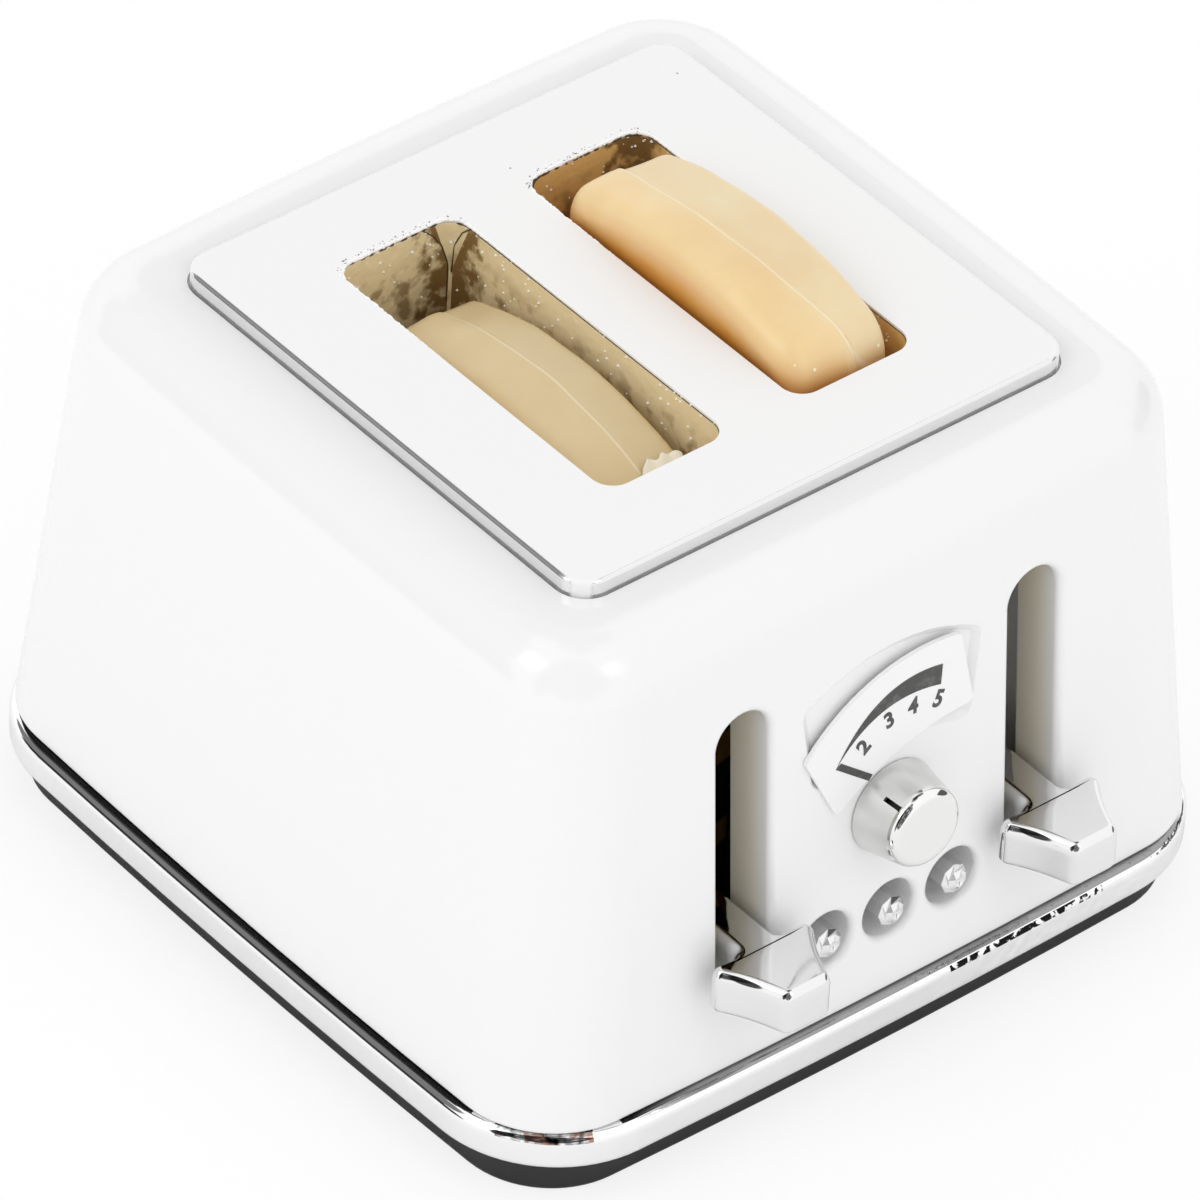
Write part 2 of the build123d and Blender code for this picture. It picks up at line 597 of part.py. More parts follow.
def make_button_spring():
    """The flat spring behind the buttons: a bar on two stakes and a finger for each button."""
    bar_length = 2 * button_pitch + SPRING_FINGER_WIDTH
    finger_length = button_z - spring_bar_z
    sketch = Rectangle(bar_length, SPRING_BAR_HEIGHT)
    for x in button_places.values():
        sketch += Pos(x, finger_length / 2) * Rectangle(SPRING_FINGER_WIDTH, finger_length)
        sketch += Pos(x, finger_length) * Circle(SPRING_FINGER_WIDTH / 2)
    for x in spring_stakes:
        sketch -= Pos(x, 0) * Circle(SPRING_STAKE_RADIUS)
    return extrude(front_plane(0, spring_bar_z, finger_depth + SPRING_THICKNESS) * sketch, SPRING_THICKNESS)


def make_scale_plate():
    """The thin white scale plate that sits askew over the knob."""
    foot = KNOB_RADIUS + SCALE_KNOB_GAP - SCALE_FOOT_RISE
    outline = banner(SCALE_HALF_TOP, SCALE_HALF_FOOT, foot, SCALE_HEIGHT, SCALE_TOP_RISE, SCALE_FOOT_RISE)
    outline = Rot(Z=SCALE_TILT) * Pos(X=SCALE_SHIFT) * outline
    return extrude(front_plane(0, KNOB_Z) * outline, SCALE_THICKNESS)


def mirrored(piece):
    """The left-hand copy of a right-hand piece."""
    return mirror(piece, about=Plane.YZ)


def write_parts():
    """Write every piece of the toaster to its own file."""
    tray = make_tray()
    lever = make_lever()
    tray_screw = make_tray_screw()
    pieces = {
        "housing": make_housing(),
        "top_plate": make_top_plate(),
        "base_trim": make_base_trim(),
        "base_plate": make_base_plate(),
        "base_screws": make_base_screws(),
        "guide_frame": make_guide_frame(),
        "scale_plate": make_scale_plate(),
        "button_spring": make_button_spring(),
        "tray_left": mirrored(tray),
        "tray_right": tray,
        "lever_left": mirrored(lever),
        "lever_right": lever,
        "tray_screw_left": mirrored(tray_screw),
        "tray_screw_right": tray_screw,
        "bread_left": make_bread(-BREAD_X, BREAD_LEFT_HEIGHT),
        "bread_right": make_bread(BREAD_X, BREAD_RIGHT_HEIGHT),
        "knob": make_knob(),
        "knob_clip": make_knob_clip(),
    }
    for name, x in button_places.items():
        pieces[f"button_{name}"] = make_button(x)
    os.makedirs("parts", exist_ok=True)
    for name, piece in pieces.items():
        export_step(piece, f"parts/{name}.step")
    print(f"wrote {len(pieces)} pieces, lever travel {lever_travel:.2f} mm")


if __name__ == "__main__":
    write_parts()
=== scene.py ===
"""Dresses the miniature toaster: finishes for its moulded and plated pieces, and the fine forms.

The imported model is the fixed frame. Lengths in this file are millimetres unless a name says
otherwise, and every mesh is turned into metres once, where it is made.
"""

import logging
import math
from dataclasses import dataclass, field
from enum import Enum
from typing import Any

import bmesh
import bpy
import numpy as np
from mathutils import Matrix, Vector


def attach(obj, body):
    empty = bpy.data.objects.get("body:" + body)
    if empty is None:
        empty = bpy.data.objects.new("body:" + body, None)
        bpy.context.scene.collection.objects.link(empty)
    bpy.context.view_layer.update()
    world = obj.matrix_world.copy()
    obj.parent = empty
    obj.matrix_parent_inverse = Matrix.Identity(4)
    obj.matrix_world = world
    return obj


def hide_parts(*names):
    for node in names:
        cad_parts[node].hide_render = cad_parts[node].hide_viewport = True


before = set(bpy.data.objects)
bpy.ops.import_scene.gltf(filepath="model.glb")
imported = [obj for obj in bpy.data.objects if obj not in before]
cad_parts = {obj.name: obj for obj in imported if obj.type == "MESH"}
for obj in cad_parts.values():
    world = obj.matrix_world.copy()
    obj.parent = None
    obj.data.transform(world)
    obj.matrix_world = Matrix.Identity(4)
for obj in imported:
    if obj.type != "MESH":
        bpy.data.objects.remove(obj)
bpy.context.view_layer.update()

LOG = logging.getLogger("toaster")
MM = 0.001
Array = np.ndarray
Node = bpy.types.Node
Socket = bpy.types.NodeSocket
Material = bpy.types.Material
Piece = bpy.types.Object
Span = tuple[float, float]
Triple = tuple[float, float, float]
Faces = list[list[int]]

# What Surface.clouds takes, and what Surface.spots takes
Noise = tuple[float, ...]
Spots = tuple[float, float, float]

# The front wall: its lean, how far in front of the middle it stands at the height
# WALL_FOOT_Z, where the knob and the buttons are on it, and the lever slots' distance from
# the middle
WALL_LEAN = math.radians(4.67)
WALL_FOOT = 17.53
WALL_FOOT_Z = 3.35
KNOB_Z = 12.0
BUTTON_Z = 7.0
BUTTON_PITCH = 3.14
SLIT_X = 7.13

# The scale plate over the knob
SCALE_TILT = math.radians(18.5)

# The top plate and its slots
PLATE_TOP = 25.15
SLOT_X = 4.6
SLOT_HALF_WIDTH = 2.95
SLOT_HALF_LENGTH = 8.2
SLOT_CORNER = 0.95

# The slices of bread
TRAY_TOP = 9.45
BREAD_HALF_THICKNESS = 2.2
BREAD_FRONT = -7.75
BREAD_BACK = 6.4
BREAD_MIDDLE = (BREAD_BACK + BREAD_FRONT) / 2
BREAD_CREST_POINTS = 120


class Side(Enum):
    """The two halves of the toaster, with the sign of X there."""

    LEFT = -1
    RIGHT = 1

    @property
    def word(self) -> str:
        """The side's name as the nodes spell it."""
        return self.name.lower()


def linear(hex_colour: str) -> tuple[float, float, float, float]:
    """Turns an sRGB hex colour such as #F3F2EE into linear light.

    Args:
        hex_colour: six hex digits after a hash sign.

    Returns:
        Red, green, blue and an alpha of 1.
    """
    parts = [int(hex_colour[i:i + 2], 16) / 255 for i in (1, 3, 5)]
    red, green, blue = [p / 12.92 if p <= 0.04045 else ((p + 0.055) / 1.055) ** 2.4 for p in parts]
    return red, green, blue, 1.0


def per_metre(size_mm: float) -> float:
    """The texture scale at which one cell of a pattern measures size_mm."""
    return 1.0 / (size_mm * MM)


def metres(lengths: tuple[float, ...]) -> tuple[float, ...]:
    """Millimetres turned into metres."""
    return tuple(length * MM for length in lengths)


# Node trees

# A Map Range node that eases in and out
SMOOTH = {"interpolation_type": "SMOOTHSTEP"}


class Graph:
    """A node tree that is being built."""

    def __init__(self, tree: bpy.types.NodeTree) -> None:
        """Starts with an empty tree."""
        self.tree = tree
        tree.nodes.clear()

    def add(self, kind: str, inputs: Any = (), **settings: Any) -> Node:
        """Adds one node with its settings and links.

        Args:
            kind: the node's type name after ShaderNode, and its operation: Bump, Math SINE.
            inputs: values for its inputs, in their order or by name or number. A node stands for
                its first output, a socket for itself, and a hex word for a colour.
            settings: attributes of the node itself.

        Returns:
            The new node.
        """
        kind, _, operation = kind.partition(" ")
        new = self.tree.nodes.new("ShaderNode" + kind)
        if operation:
            new.operation = operation
        for name, value in settings.items():
            setattr(new, name, value)
        for name, value in inputs.items() if isinstance(inputs, dict) else enumerate(inputs):
            self.feed(new.inputs[name], value)
        return new

    def feed(self, socket: Socket, value: Any) -> None:
        """Links a node or socket to an input, or sets the input to a plain value.

        Args:
            socket: the input.
            value: the node, whose first output is taken, the socket, a hex colour or a value.
        """
        if isinstance(value, Node):
            self.tree.links.new(value.outputs[0], socket)
        elif isinstance(value, Socket):
            self.tree.links.new(value, socket)
        else:
            socket.default_value = linear(value) if isinstance(value, str) else value


class Surface(Graph):
    """A new material with its Principled shader, and patterns to lay over it."""

    def __init__(self, name: str) -> None:
        """Makes the material, its shader and its object coordinates.

        Args:
            name: the material's name.
        """
        self.material = bpy.data.materials.new(name)
        self.material.use_nodes = True
        super().__init__(self.material.node_tree)
        self.shader = self.add("BsdfPrincipled")
        self.add("OutputMaterial", {"Surface": self.shader})
        self.point = self.add("TexCoord").outputs["Object"]
        self.x, self.y, self.z = self.add("SeparateXYZ", (self.point,)).outputs

    def clouds(self, size_mm: float, low: float = 0.0, high: float = 1.0,
               detail: float = 2.0) -> Node:
        """Soft patches: noise, stretched so that it goes from 0 to 1 between two of its values.

        Args:
            size_mm: how large its blobs are, about.
            low: the noise that gives 0.
            high: the noise that gives 1.
            detail: how many finer noises are added to it.

        Returns:
            The node that gives the patches' strength.
        """
        noise = self.add("TexNoise", {"Vector": self.point, "Scale": per_metre(size_mm),
                                      "Detail": detail})
        return self.add("MapRange", (noise, low, high))

    def spots(self, cell_mm: float, radius: float, share: float) -> Node:
        """Scattered round spots.

        Args:
            cell_mm: the size of one cell, which holds at most one spot.
            radius: a spot's radius, as a share of a cell.
            share: how many of the cells hold a spot, from 0 to 1.

        Returns:
            A node that gives 1 on a spot and 0 elsewhere.
        """
        cells = self.add("TexVoronoi", {"Vector": self.point, "Scale": per_metre(cell_mm)})
        disc = self.add("MapRange", (cells, radius, radius * 0.7), **SMOOTH)
        chosen = self.add("Math LESS_THAN", (cells.outputs["Color"], share))
        return self.add("Math MULTIPLY", (disc, chosen))

    def both(self, *masks: Any) -> Any:
        """The place where all the masks hold: their product.

        Args:
            masks: nodes, sockets or plain values.

        Returns:
            The last product, or the mask itself where there is one only.
        """
        joined = masks[0]
        for mask in masks[1:]:
            joined = self.add("Math MULTIPLY", (joined, mask))
        return joined

    def paint(self, colour: Any, *layers: tuple[Any, Any]) -> Any:
        """Lays colours over a first one.

        Args:
            colour: the first colour.
            layers: each further colour after its mask.

        Returns:
            The blended colour.
        """
        for mask, layer in layers:
            colour = self.add("Mix", {0: mask, 6: colour, 7: layer}, data_type="RGBA").outputs[2]
        return colour

    def relief(self, *layers: tuple[Any, float]) -> None:
        """Stacks bumps on the shader's normal.

        Args:
            layers: each bump's height, from 0 to 1, and its depth in millimetres.
        """
        normal = None
        for height, depth_mm in layers:
            inputs = {"Height": height, "Strength": 1.0, "Distance": depth_mm * MM}
            if normal:
                inputs["Normal"] = normal
            normal = self.add("Bump", inputs)
        self.feed(self.shader.inputs["Normal"], normal)

    def finish(self, **values: Any) -> Material:
        """Fills the shader's inputs.

        Args:
            values: a value for each input, with underscores for the spaces in its name.

        Returns:
            The finished material.
        """
        for name, value in values.items():
            self.feed(self.shader.inputs[name.replace("_", " ")], value)
        return self.material


# Finishes


@dataclass(frozen=True)
class GlossyAbs:
    """White gloss ABS: even and faintly rippled, with a warm painted shade inside the lever slots.

    Attributes:
        edge_depth: how far behind the front face the warm painted shade starts and is full.
        edge_reach: how far to either side of a lever slot's middle it goes.
        edge_top: the height where it ends.
        dust: its specks.
        ripple_mm: how long the ripples of the moulding are.
        ripple_depth_mm: how deep they are.
    """

    name: str = "white_gloss_abs"
    colour: str = "#F5F5F5"
    # Painted shade: the warm shade on the lever slots' inner walls.
    slot_shade_colour: str = "#E9E3D2"
    dust_colour: str = "#B9B6AC"
    roughness: float = 0.17
    refraction: float = 1.53
    edge_depth: Span = (0.15, 1.7)
    edge_reach: float = 1.9
    edge_top: float = 20.0
    dust: Spots = (1.4, 0.045, 0.05)
    ripple_mm: float = 2.6
    ripple_depth_mm: float = 0.003

    def build(self) -> Material:
        """Makes the material: its depth behind the front face brings in the painted shade by the
        slots.

        Returns:
            The material.
        """
        surface = Surface(self.name)
        add = surface.add
        foot = (WALL_FOOT + WALL_FOOT_Z * math.tan(WALL_LEAN)) * MM
        lean = add("Math MULTIPLY_ADD", (surface.z, -math.tan(WALL_LEAN), foot))
        depth = add("Math ADD", (surface.y, lean))
        inside = add("MapRange", (depth, *metres(self.edge_depth)), **SMOOTH)
        across = add("Math ABSOLUTE", (surface.x,))
        by_slot = add("Math COMPARE", (across, *metres((SLIT_X, self.edge_reach))))
        low = add("Math LESS_THAN", (surface.z, self.edge_top * MM))
        front = add("Math LESS_THAN", (surface.y, 0.0))
        # Painted shade on the slots' inner walls, deeper behind the front face.
        edge = surface.both(inside, by_slot, low, front)
        colour = surface.paint(self.colour, (edge, self.slot_shade_colour),
                               (surface.spots(*self.dust), self.dust_colour))
        surface.relief((surface.clouds(self.ripple_mm), self.ripple_depth_mm))
        return surface.finish(Base_Color=colour, Roughness=self.roughness, IOR=self.refraction)


@dataclass(frozen=True)
class ChromePlating:
    """Bright chrome on moulded plastic: a mirror with pits and the mould's soft waves.

    Real pits are hardly 0.05 mm wide. Here they measure about 0.15 mm, so that they show.

    Attributes:
        wave_mm: how long the waves are.
        wave_depth_mm: how deep they are.
        pits: the pits.
        pit_depth_mm: how deep these are.
    """

    name: str
    colour: str = "#E9E9EA"
    roughness: float = 0.07
    wave_mm: float = 2.5
    wave_depth_mm: float = 0.01
    pits: Spots = (0.45, 0.16, 0.1)
    pit_depth_mm: float = 0.012

    def build(self) -> Material:
        """Makes the material: long waves, then pits, in its normals.

        Returns:
            The material.
        """
        surface = Surface(self.name)
        surface.relief((surface.clouds(self.wave_mm), self.wave_depth_mm),
                       (surface.spots(*self.pits), self.pit_depth_mm))
        return surface.finish(Base_Color=self.colour, Metallic=1.0, Roughness=self.roughness)


@dataclass(frozen=True)
class TrimChrome:
    """The band's chrome: clean along the sides, puckered and flecked on the front's right.

    A painted shadow lies in the gap by the shell, and a grey painted shade along the front. The
    bend at the front left corner has a dark and brown painted reflection between two clean parts.

    Attributes:
        front_y: where the front's faults start and are full.
        right_x: where the puckers start and are full along the front.
        fleck_x: the flecks' middle, and how far they reach to either side of it.
        fleck_z: the same for their height.
        gap_z: the height above which the gap's painted shadow lies.
        shade_z: the height above which the front has its painted shade.
        shade_x: where that painted shade starts and is full along the front.
        reflection_z: the height above which the bend has its painted reflection.
        corner: the X of the bend's middle, and its Y.
        parts: the turns round that middle of the clean part on the left, the clean part on the
        right and the part with the painted reflection, each with its half width, in degrees. The
        clean parts have no painted shade, so that the lamps' reflections show there.
        flecks: the noise that breaks the flecks up.
        mottle: the noise of the painted reflection's dark patches.
        brown_patches: the noise of its brown ones.
        puckers: the noise of the puckers, and how deep they are.
        waves: the noise of the mould's waves, and how deep they are.
        pits: the plating's pits, drawn coarser than real ones, and how deep they are.
    """

    name: str = "trim_chrome"
    colour: str = "#F8F8F8"
    # Dark of the flecks, and also of the painted reflection's dark patches on the bend.
    fleck_and_reflection_colour: str = "#1E1C1C"
    # Painted shadow in the gap between the band and the shell.
    gap_shadow_colour: str = "#262626"
    # Painted grey shade along the front.
    front_shade_colour: str = "#9A9A9A"
    # Painted reflection: the brown patches on the bend.
    reflection_brown_colour: str = "#A58478"
    roughness: float = 0.06
    front_y: Span = (-16.2, -16.9)
    right_x: Span = (-6.0, 6.0)
    fleck_x: Span = (6.6, 3.9)
    fleck_z: Span = (3.1, 0.12)
    gap_z: float = 3.335
    shade_z: float = 3.25
    shade_x: Span = (-12.6, -9.5)
    reflection_z: float = 3.03
    corner: float = -12.53
    parts: tuple[Span, Span, Span] = ((-161.0, 6.0), (-104.0, 7.0), (-132.5, 21.0))
    flecks: Noise = (0.42, 0.46, 0.5, 5.0)
    mottle: Noise = (0.6, 0.42, 0.6, 5.0)
    brown_patches: Noise = (0.9, 0.5, 0.56, 3.0)
    puckers: tuple[Noise, float] = ((0.45, 0.0, 1.0, 3.0), 0.07)
    waves: tuple[Noise, float] = ((1.6,), 0.005)
    pits: tuple[Spots, float] = ((0.5, 0.14, 0.1), 0.02)

    def build(self) -> Material:
        """Makes the material: the place of each fault, painted shade and painted reflection is a
        product of tests on X, Y, Z and the turn.

        Returns:
            The material.
        """
        surface = Surface(self.name)
        add = surface.add
        front = add("MapRange", (surface.y, *metres(self.front_y)), **SMOOTH)
        right = add("MapRange", (surface.x, *metres(self.right_x)), **SMOOTH)
        far_right = add("Math COMPARE", (surface.x, *metres(self.fleck_x)))
        level = add("Math COMPARE", (surface.z, *metres(self.fleck_z)))
        flecks = surface.both(surface.clouds(*self.flecks), front, far_right, level)
        noise, depth_mm = self.puckers
        puckers = surface.both(surface.clouds(*noise), front, right)
        surface.relief((surface.clouds(*self.waves[0]), self.waves[1]), (puckers, depth_mm),
                       (surface.spots(*self.pits[0]), self.pits[1]))
        turn = self.turn(surface)
        left_part, right_part, bend = (add("Math COMPARE", (turn, *map(math.radians, part)))
                                       for part in self.parts)
        clean = add("Math MAXIMUM", (left_part, right_part))
        # Painted shade and shadow stay off the clean parts, where the lamps' reflections show.
        shaded_parts = add("Math SUBTRACT", (1.0, clean))
        shade, gap, upper = (add("Math GREATER_THAN", (surface.z, height * MM))
                             for height in (self.shade_z, self.gap_z, self.reflection_z))
        along_front = add("MapRange", (surface.x, *metres(self.shade_x)))
        # Painted reflection on the bend: dark patches, then brown ones.
        mottle = surface.both(surface.clouds(*self.mottle), bend, upper)
        brown_reflection = surface.both(surface.clouds(*self.brown_patches), bend, upper)
        # Painted shadow in the gap, painted shade along the front, the bend's painted reflection,
        # then the flecks.
        colour = surface.paint(
            self.colour, (surface.both(gap, shaded_parts), self.gap_shadow_colour),
            (surface.both(front, along_front, shade, shaded_parts), self.front_shade_colour),
            (mottle, self.fleck_and_reflection_colour), (brown_reflection, self.reflection_brown_colour), (flecks, self.fleck_and_reflection_colour))
        return surface.finish(Base_Color=colour, Metallic=1.0, Roughness=self.roughness)

    def turn(self, surface: Surface) -> Node:
        """The turn round the middle of the front left bend: the arc tangent of Y over X there.

        Args:
            surface: the material that is being made.

        Returns:
            The node that gives it, in radians.
        """
        centre = (*metres((-self.corner, -self.corner)), 0.0)
        from_centre = surface.add("VectorMath ADD", (surface.point, centre))
        away = surface.add("SeparateXYZ", (from_centre,))
        return surface.add("Math ARCTAN2", (away.outputs["Y"], away.outputs["X"]))


@dataclass(frozen=True)
class PlateChrome:
    """The top plate: satin on top, bright round its rim, with painted reflections of the bread,
    dark patches and painted shade down the slots.

    Attributes:
        slots_reach: how far from the middle the slots' walls go.
        wall_z: the heights where a slot's wall starts and is full.
        rim: how far out the bright rim starts and is full.
        low_z: the heights where the painted shade low on the walls starts and is full.
        low_share: how strong it is.
        low_noise: the noise that breaks it up.
        corner_noise: the noise that makes the corner's dark patch ragged.
        corner_noise_reach: how far that noise pushes it in.
        corner_patch: how far from the corner that dark patch starts and is full.
        seam_z: the heights between which the clean part between the seams opens.
        seam_width: its half width at both.
        specks: the specks on top.
        waves: the noise of the plate's waves, and how deep they are.
        pimples: the noise of the walls' rough plating, and how deep it is.
    """

    name: str = "top_plate_plating"
    colour: str = "#F5F5F5"
    rim_colour: str = "#E8E8E8"
    # Painted reflections of the bread on the slots' walls: pale on both, golden on the right.
    bread_reflection_colour: str = "#F2E0B6"
    gold_bread_reflection_colour: str = "#EBC27C"
    # Dark brown of the ragged corner patches and of the painted shade low on the walls.
    dark_patch_and_shade_colour: str = "#86693C"
    speck_colour: str = "#8C8C88"
    rim_metallic: float = 0.8
    roughness: Span = (0.5, 0.1)
    slots_reach: float = 9.4
    wall_z: Span = (PLATE_TOP - 0.1, PLATE_TOP - 0.25)
    rim: Span = (11.85, 11.93)
    low_z: Span = (24.3, 22.6)
    low_share: float = 0.8
    low_noise: Noise = (0.9, 0.5, 0.62, 6.0)
    corner_noise: Noise = (0.6, 0.3, 0.7, 6.0)
    corner_noise_reach: float = 1.9
    corner_patch: Span = (2.9, 1.7)
    seam_z: Span = (22.8, 25.0)
    seam_width: Span = (0.1, 0.95)
    specks: Spots = (0.9, 0.065, 0.16)
    waves: tuple[Noise, float] = ((1.8,), 0.004)
    pimples: tuple[Noise, float] = ((0.5, 0.0, 1.0, 4.0), 0.06)

    def build(self) -> Material:
        """Makes the material: height and place tell the top, the rim and the slots' walls.

        Returns:
            The material.
        """
        surface = Surface(self.name)
        add = surface.add
        across, along = (add("Math ABSOLUTE", (axis,)) for axis in (surface.x, surface.y))
        out = add("Math MAXIMUM", (across, along))
        inner = add("Math LESS_THAN", (out, self.slots_reach * MM))
        below = add("MapRange", (surface.z, *metres(self.wall_z)), **SMOOTH)
        wall = surface.both(inner, below)
        rim = add("MapRange", (out, *metres(self.rim)), **SMOOTH)
        # Painted shade: darker lower down the slots' walls.
        low = surface.both(
            add("MapRange", (surface.z, *metres(self.low_z), 0.0, self.low_share)),
            surface.clouds(*self.low_noise))
        patch_and_shade = surface.both(add("Math MAXIMUM", (self.near_corner(surface), low)), wall)
        # Painted reflection of the golden slice on the right slot's walls.
        gold_reflection = surface.both(add("Math GREATER_THAN", (surface.x, 0.0)), wall)
        specks = surface.both(surface.spots(*self.specks), add("Math SUBTRACT", (1.0, wall)))
        colour = surface.paint(self.colour, (specks, self.speck_colour), (rim, self.rim_colour),
                               (wall, self.bread_reflection_colour), (gold_reflection, self.gold_bread_reflection_colour),
                               (patch_and_shade, self.dark_patch_and_shade_colour))
        metal = add("MapRange", (rim, 0.0, 1.0, 0.0, self.rim_metallic))
        rough = add("MapRange", (rim, 0.0, 1.0, *self.roughness))
        noise, depth_mm = self.pimples
        surface.relief((surface.clouds(*self.waves[0]), self.waves[1]),
                       (surface.both(surface.clouds(*noise), wall), depth_mm))
        return surface.finish(Base_Color=colour, Metallic=metal, Roughness=rough)

    def near_corner(self, surface: Surface) -> Node:
        """A ragged patch round the back right corner of each slot, clean between the seams.

        The patch is where the distance to the nearer corner plus noise is small. The clean part
        is where X less Y is near its value at the left slot's corner.

        Args:
            surface: the material that is being made.

        Returns:
            The node that gives the patch's strength.
        """
        flat = surface.add("VectorMath MULTIPLY", (surface.point, (1.0, 1.0, 0.0)))
        corners = []
        for side in Side:
            corner = metres((side.value * SLOT_X + SLOT_HALF_WIDTH, SLOT_HALF_LENGTH, 0.0))
            corners.append(surface.add("VectorMath DISTANCE", (flat, corner)).outputs["Value"])
        nearest = surface.add("Math MINIMUM", corners)
        ragged = surface.add("Math MULTIPLY_ADD", (surface.clouds(*self.corner_noise),
                                                   self.corner_noise_reach * MM, nearest))
        patch = surface.add("MapRange", (ragged, *metres(self.corner_patch)), **SMOOTH)
        diagonal = surface.add("Math SUBTRACT", (surface.x, surface.y))
        width = surface.add("MapRange", (surface.z, *metres(self.seam_z + self.seam_width)))
        middle = (SLOT_HALF_WIDTH - SLOT_X - SLOT_HALF_LENGTH) * MM
        between = surface.add("Math COMPARE", (diagonal, middle, width))
        return surface.both(patch, surface.add("Math SUBTRACT", (1.0, between)))


@dataclass(frozen=True)
class KnobChrome:
    """The knob's chrome: satin barrel, bright rim and front, and painted shade in its groove.

    Attributes:
        bright: the heights over the wall where the bright part starts and is full.
        roughness: the barrel's and the bright part's.
        groove_turn: the groove's direction, turned from upwards towards the left.
        groove_half_width: how far to either side of that direction it goes.
        groove_floor: its distance from the knob's axis, and how far that may differ.
        wave_mm: how long the mould's waves are.
        wave_depth_mm: how deep they are.
        pits: the plating's pits, drawn coarser than real ones.
        pit_depth_mm: how deep these are.
    """

    name: str = "knob_chrome"
    colour: str = "#EDEDEC"
    barrel_colour: str = "#E6E7E5"
    # Painted shade in the pointer groove.
    groove_shade_colour: str = "#3A3935"
    bright: Span = (1.65, 1.75)
    roughness: Span = (0.36, 0.07)
    groove_turn: float = math.radians(40.0)
    groove_half_width: float = 0.115
    groove_floor: Span = (1.6, 0.1)
    wave_mm: float = 0.9
    wave_depth_mm: float = 0.008
    pits: Spots = (0.4, 0.15, 0.12)
    pit_depth_mm: float = 0.02

    def build(self) -> Material:
        """Makes the material: its tones follow the place in the knob's own frame.

        That place is three dot products of the point, measured from where the knob's axis meets
        the wall: with the axis, with the groove's direction and with the direction across it.

        Returns:
            The material.
        """
        surface = Surface(self.name)
        add = surface.add
        face_y = WALL_FOOT - (KNOB_Z - WALL_FOOT_Z) * math.tan(WALL_LEAN)
        from_wall = add("VectorMath ADD", (surface.point, (0.0, face_y * MM, -KNOB_Z * MM)))
        sine, cosine = math.sin(self.groove_turn), math.cos(self.groove_turn)
        lean_y, lean_z = math.sin(WALL_LEAN), math.cos(WALL_LEAN)
        height, outer, beside = (
            add("VectorMath DOT_PRODUCT", (from_wall, axis)).outputs["Value"] for axis in (
                (0.0, -lean_z, lean_y), (-sine, cosine * lean_y, cosine * lean_z),
                (cosine, sine * lean_y, sine * lean_z)))
        bright = add("MapRange", (height, *metres(self.bright)), **SMOOTH)
        # Painted shade in the groove.
        groove = surface.both(
            add("Math COMPARE", (beside, 0.0, self.groove_half_width * MM)),
            add("Math COMPARE", (outer, *metres(self.groove_floor))),
            add("Math LESS_THAN", (height, self.bright[1] * MM)))
        surface.relief((surface.clouds(self.wave_mm), self.wave_depth_mm),
                       (surface.spots(*self.pits), self.pit_depth_mm))
        return surface.finish(
            Base_Color=surface.paint(self.barrel_colour, (bright, self.colour),
                                     (groove, self.groove_shade_colour)),
            Metallic=1.0, Roughness=add("MapRange", (bright, 0.0, 1.0, *self.roughness)))


@dataclass(frozen=True)
class MouldedMatte:
    """Plain moulded plastic with a fine spark-eroded grain that breaks up its sheen.

    The real grain measures about 0.03 mm. It is drawn at 0.18 mm, so that it shows.

    Attributes:
        grain_mm: how large the grain is drawn.
        grain_depth_mm: how deep it is.
    """

    name: str
    colour: str
    roughness: float = 0.5
    grain_mm: float = 0.18
    grain_depth_mm: float = 0.004

    def build(self) -> Material:
        """Makes the material: the grain is a fine noise in its normals.

        Returns:
            The material.
        """
        surface = Surface(self.name)
        surface.relief((surface.clouds(self.grain_mm, detail=3.0), self.grain_depth_mm))
        return surface.finish(Base_Color=self.colour, Roughness=self.roughness)


@dataclass(frozen=True)
class MetallisedFrame:
    """The dark inner pieces: a half-plated dark plastic with uneven brown bands of painted
    reflection.

    Attributes:
        band_mm: the height from one brown band to the next.
        unevenness_mm: how far noise moves the bands up.
        unevenness_size_mm: how large the blobs of that noise are.
        brown_from: the sine's values where the brown starts and is full.
        ripple_mm: how long the moulding's ripples are.
        ripple_depth_mm: how deep they are.
    """

    name: str = "dark_inner_frame"
    dark: str = "#120D10"
    # Painted reflection: the brown of the bread that these pieces mirror.
    brown: str = "#7E5A28"
    band_mm: float = 4.2
    unevenness_mm: float = 1.5
    unevenness_size_mm: float = 2.0
    brown_from: Span = (0.35, 0.6)
    ripple_mm: float = 0.8
    ripple_depth_mm: float = 0.01

    def build(self) -> Material:
        """Makes the material: brown where the sine of the height plus noise is high.

        Returns:
            The material.
        """
        surface = Surface(self.name)
        height = surface.add("Math MULTIPLY_ADD", (surface.clouds(self.unevenness_size_mm),
                                                   self.unevenness_mm * MM, surface.z))
        turns = surface.add("Math MULTIPLY", (height, math.tau / (self.band_mm * MM)))
        wave = surface.add("Math SINE", (turns,))
        # Painted reflection of the bread, in uneven bands up the height.
        bands = surface.add("MapRange", (wave, *self.brown_from), **SMOOTH)
        surface.relief((surface.clouds(self.ripple_mm), self.ripple_depth_mm))
        return surface.finish(Base_Color=surface.paint(self.dark, (bands, self.brown)),
                              Metallic=0.2, Roughness=0.5)


@dataclass(frozen=True)
class PlainSteel:
    """Zinc-plated steel: metallic, softly mottled by tumbling.

    Attributes:
        roughness: the least and the most of it.
        mottle: the noise that goes from the one to the other.
    """

    name: str = "zinc_plated_steel"
    colour: str = "#B9BABD"
    roughness: Span = (0.22, 0.42)
    mottle: Noise = (0.4, 0.2, 0.8)

    def build(self) -> Material:
        """Makes the material: soft noise moves its roughness between two values.

        Returns:
            The material.
        """
        surface = Surface(self.name)
        mottle = surface.add("MapRange", (surface.clouds(*self.mottle), 0.0, 1.0,
                                          *self.roughness))
        return surface.finish(Base_Color=self.colour, Metallic=1.0, Roughness=mottle)


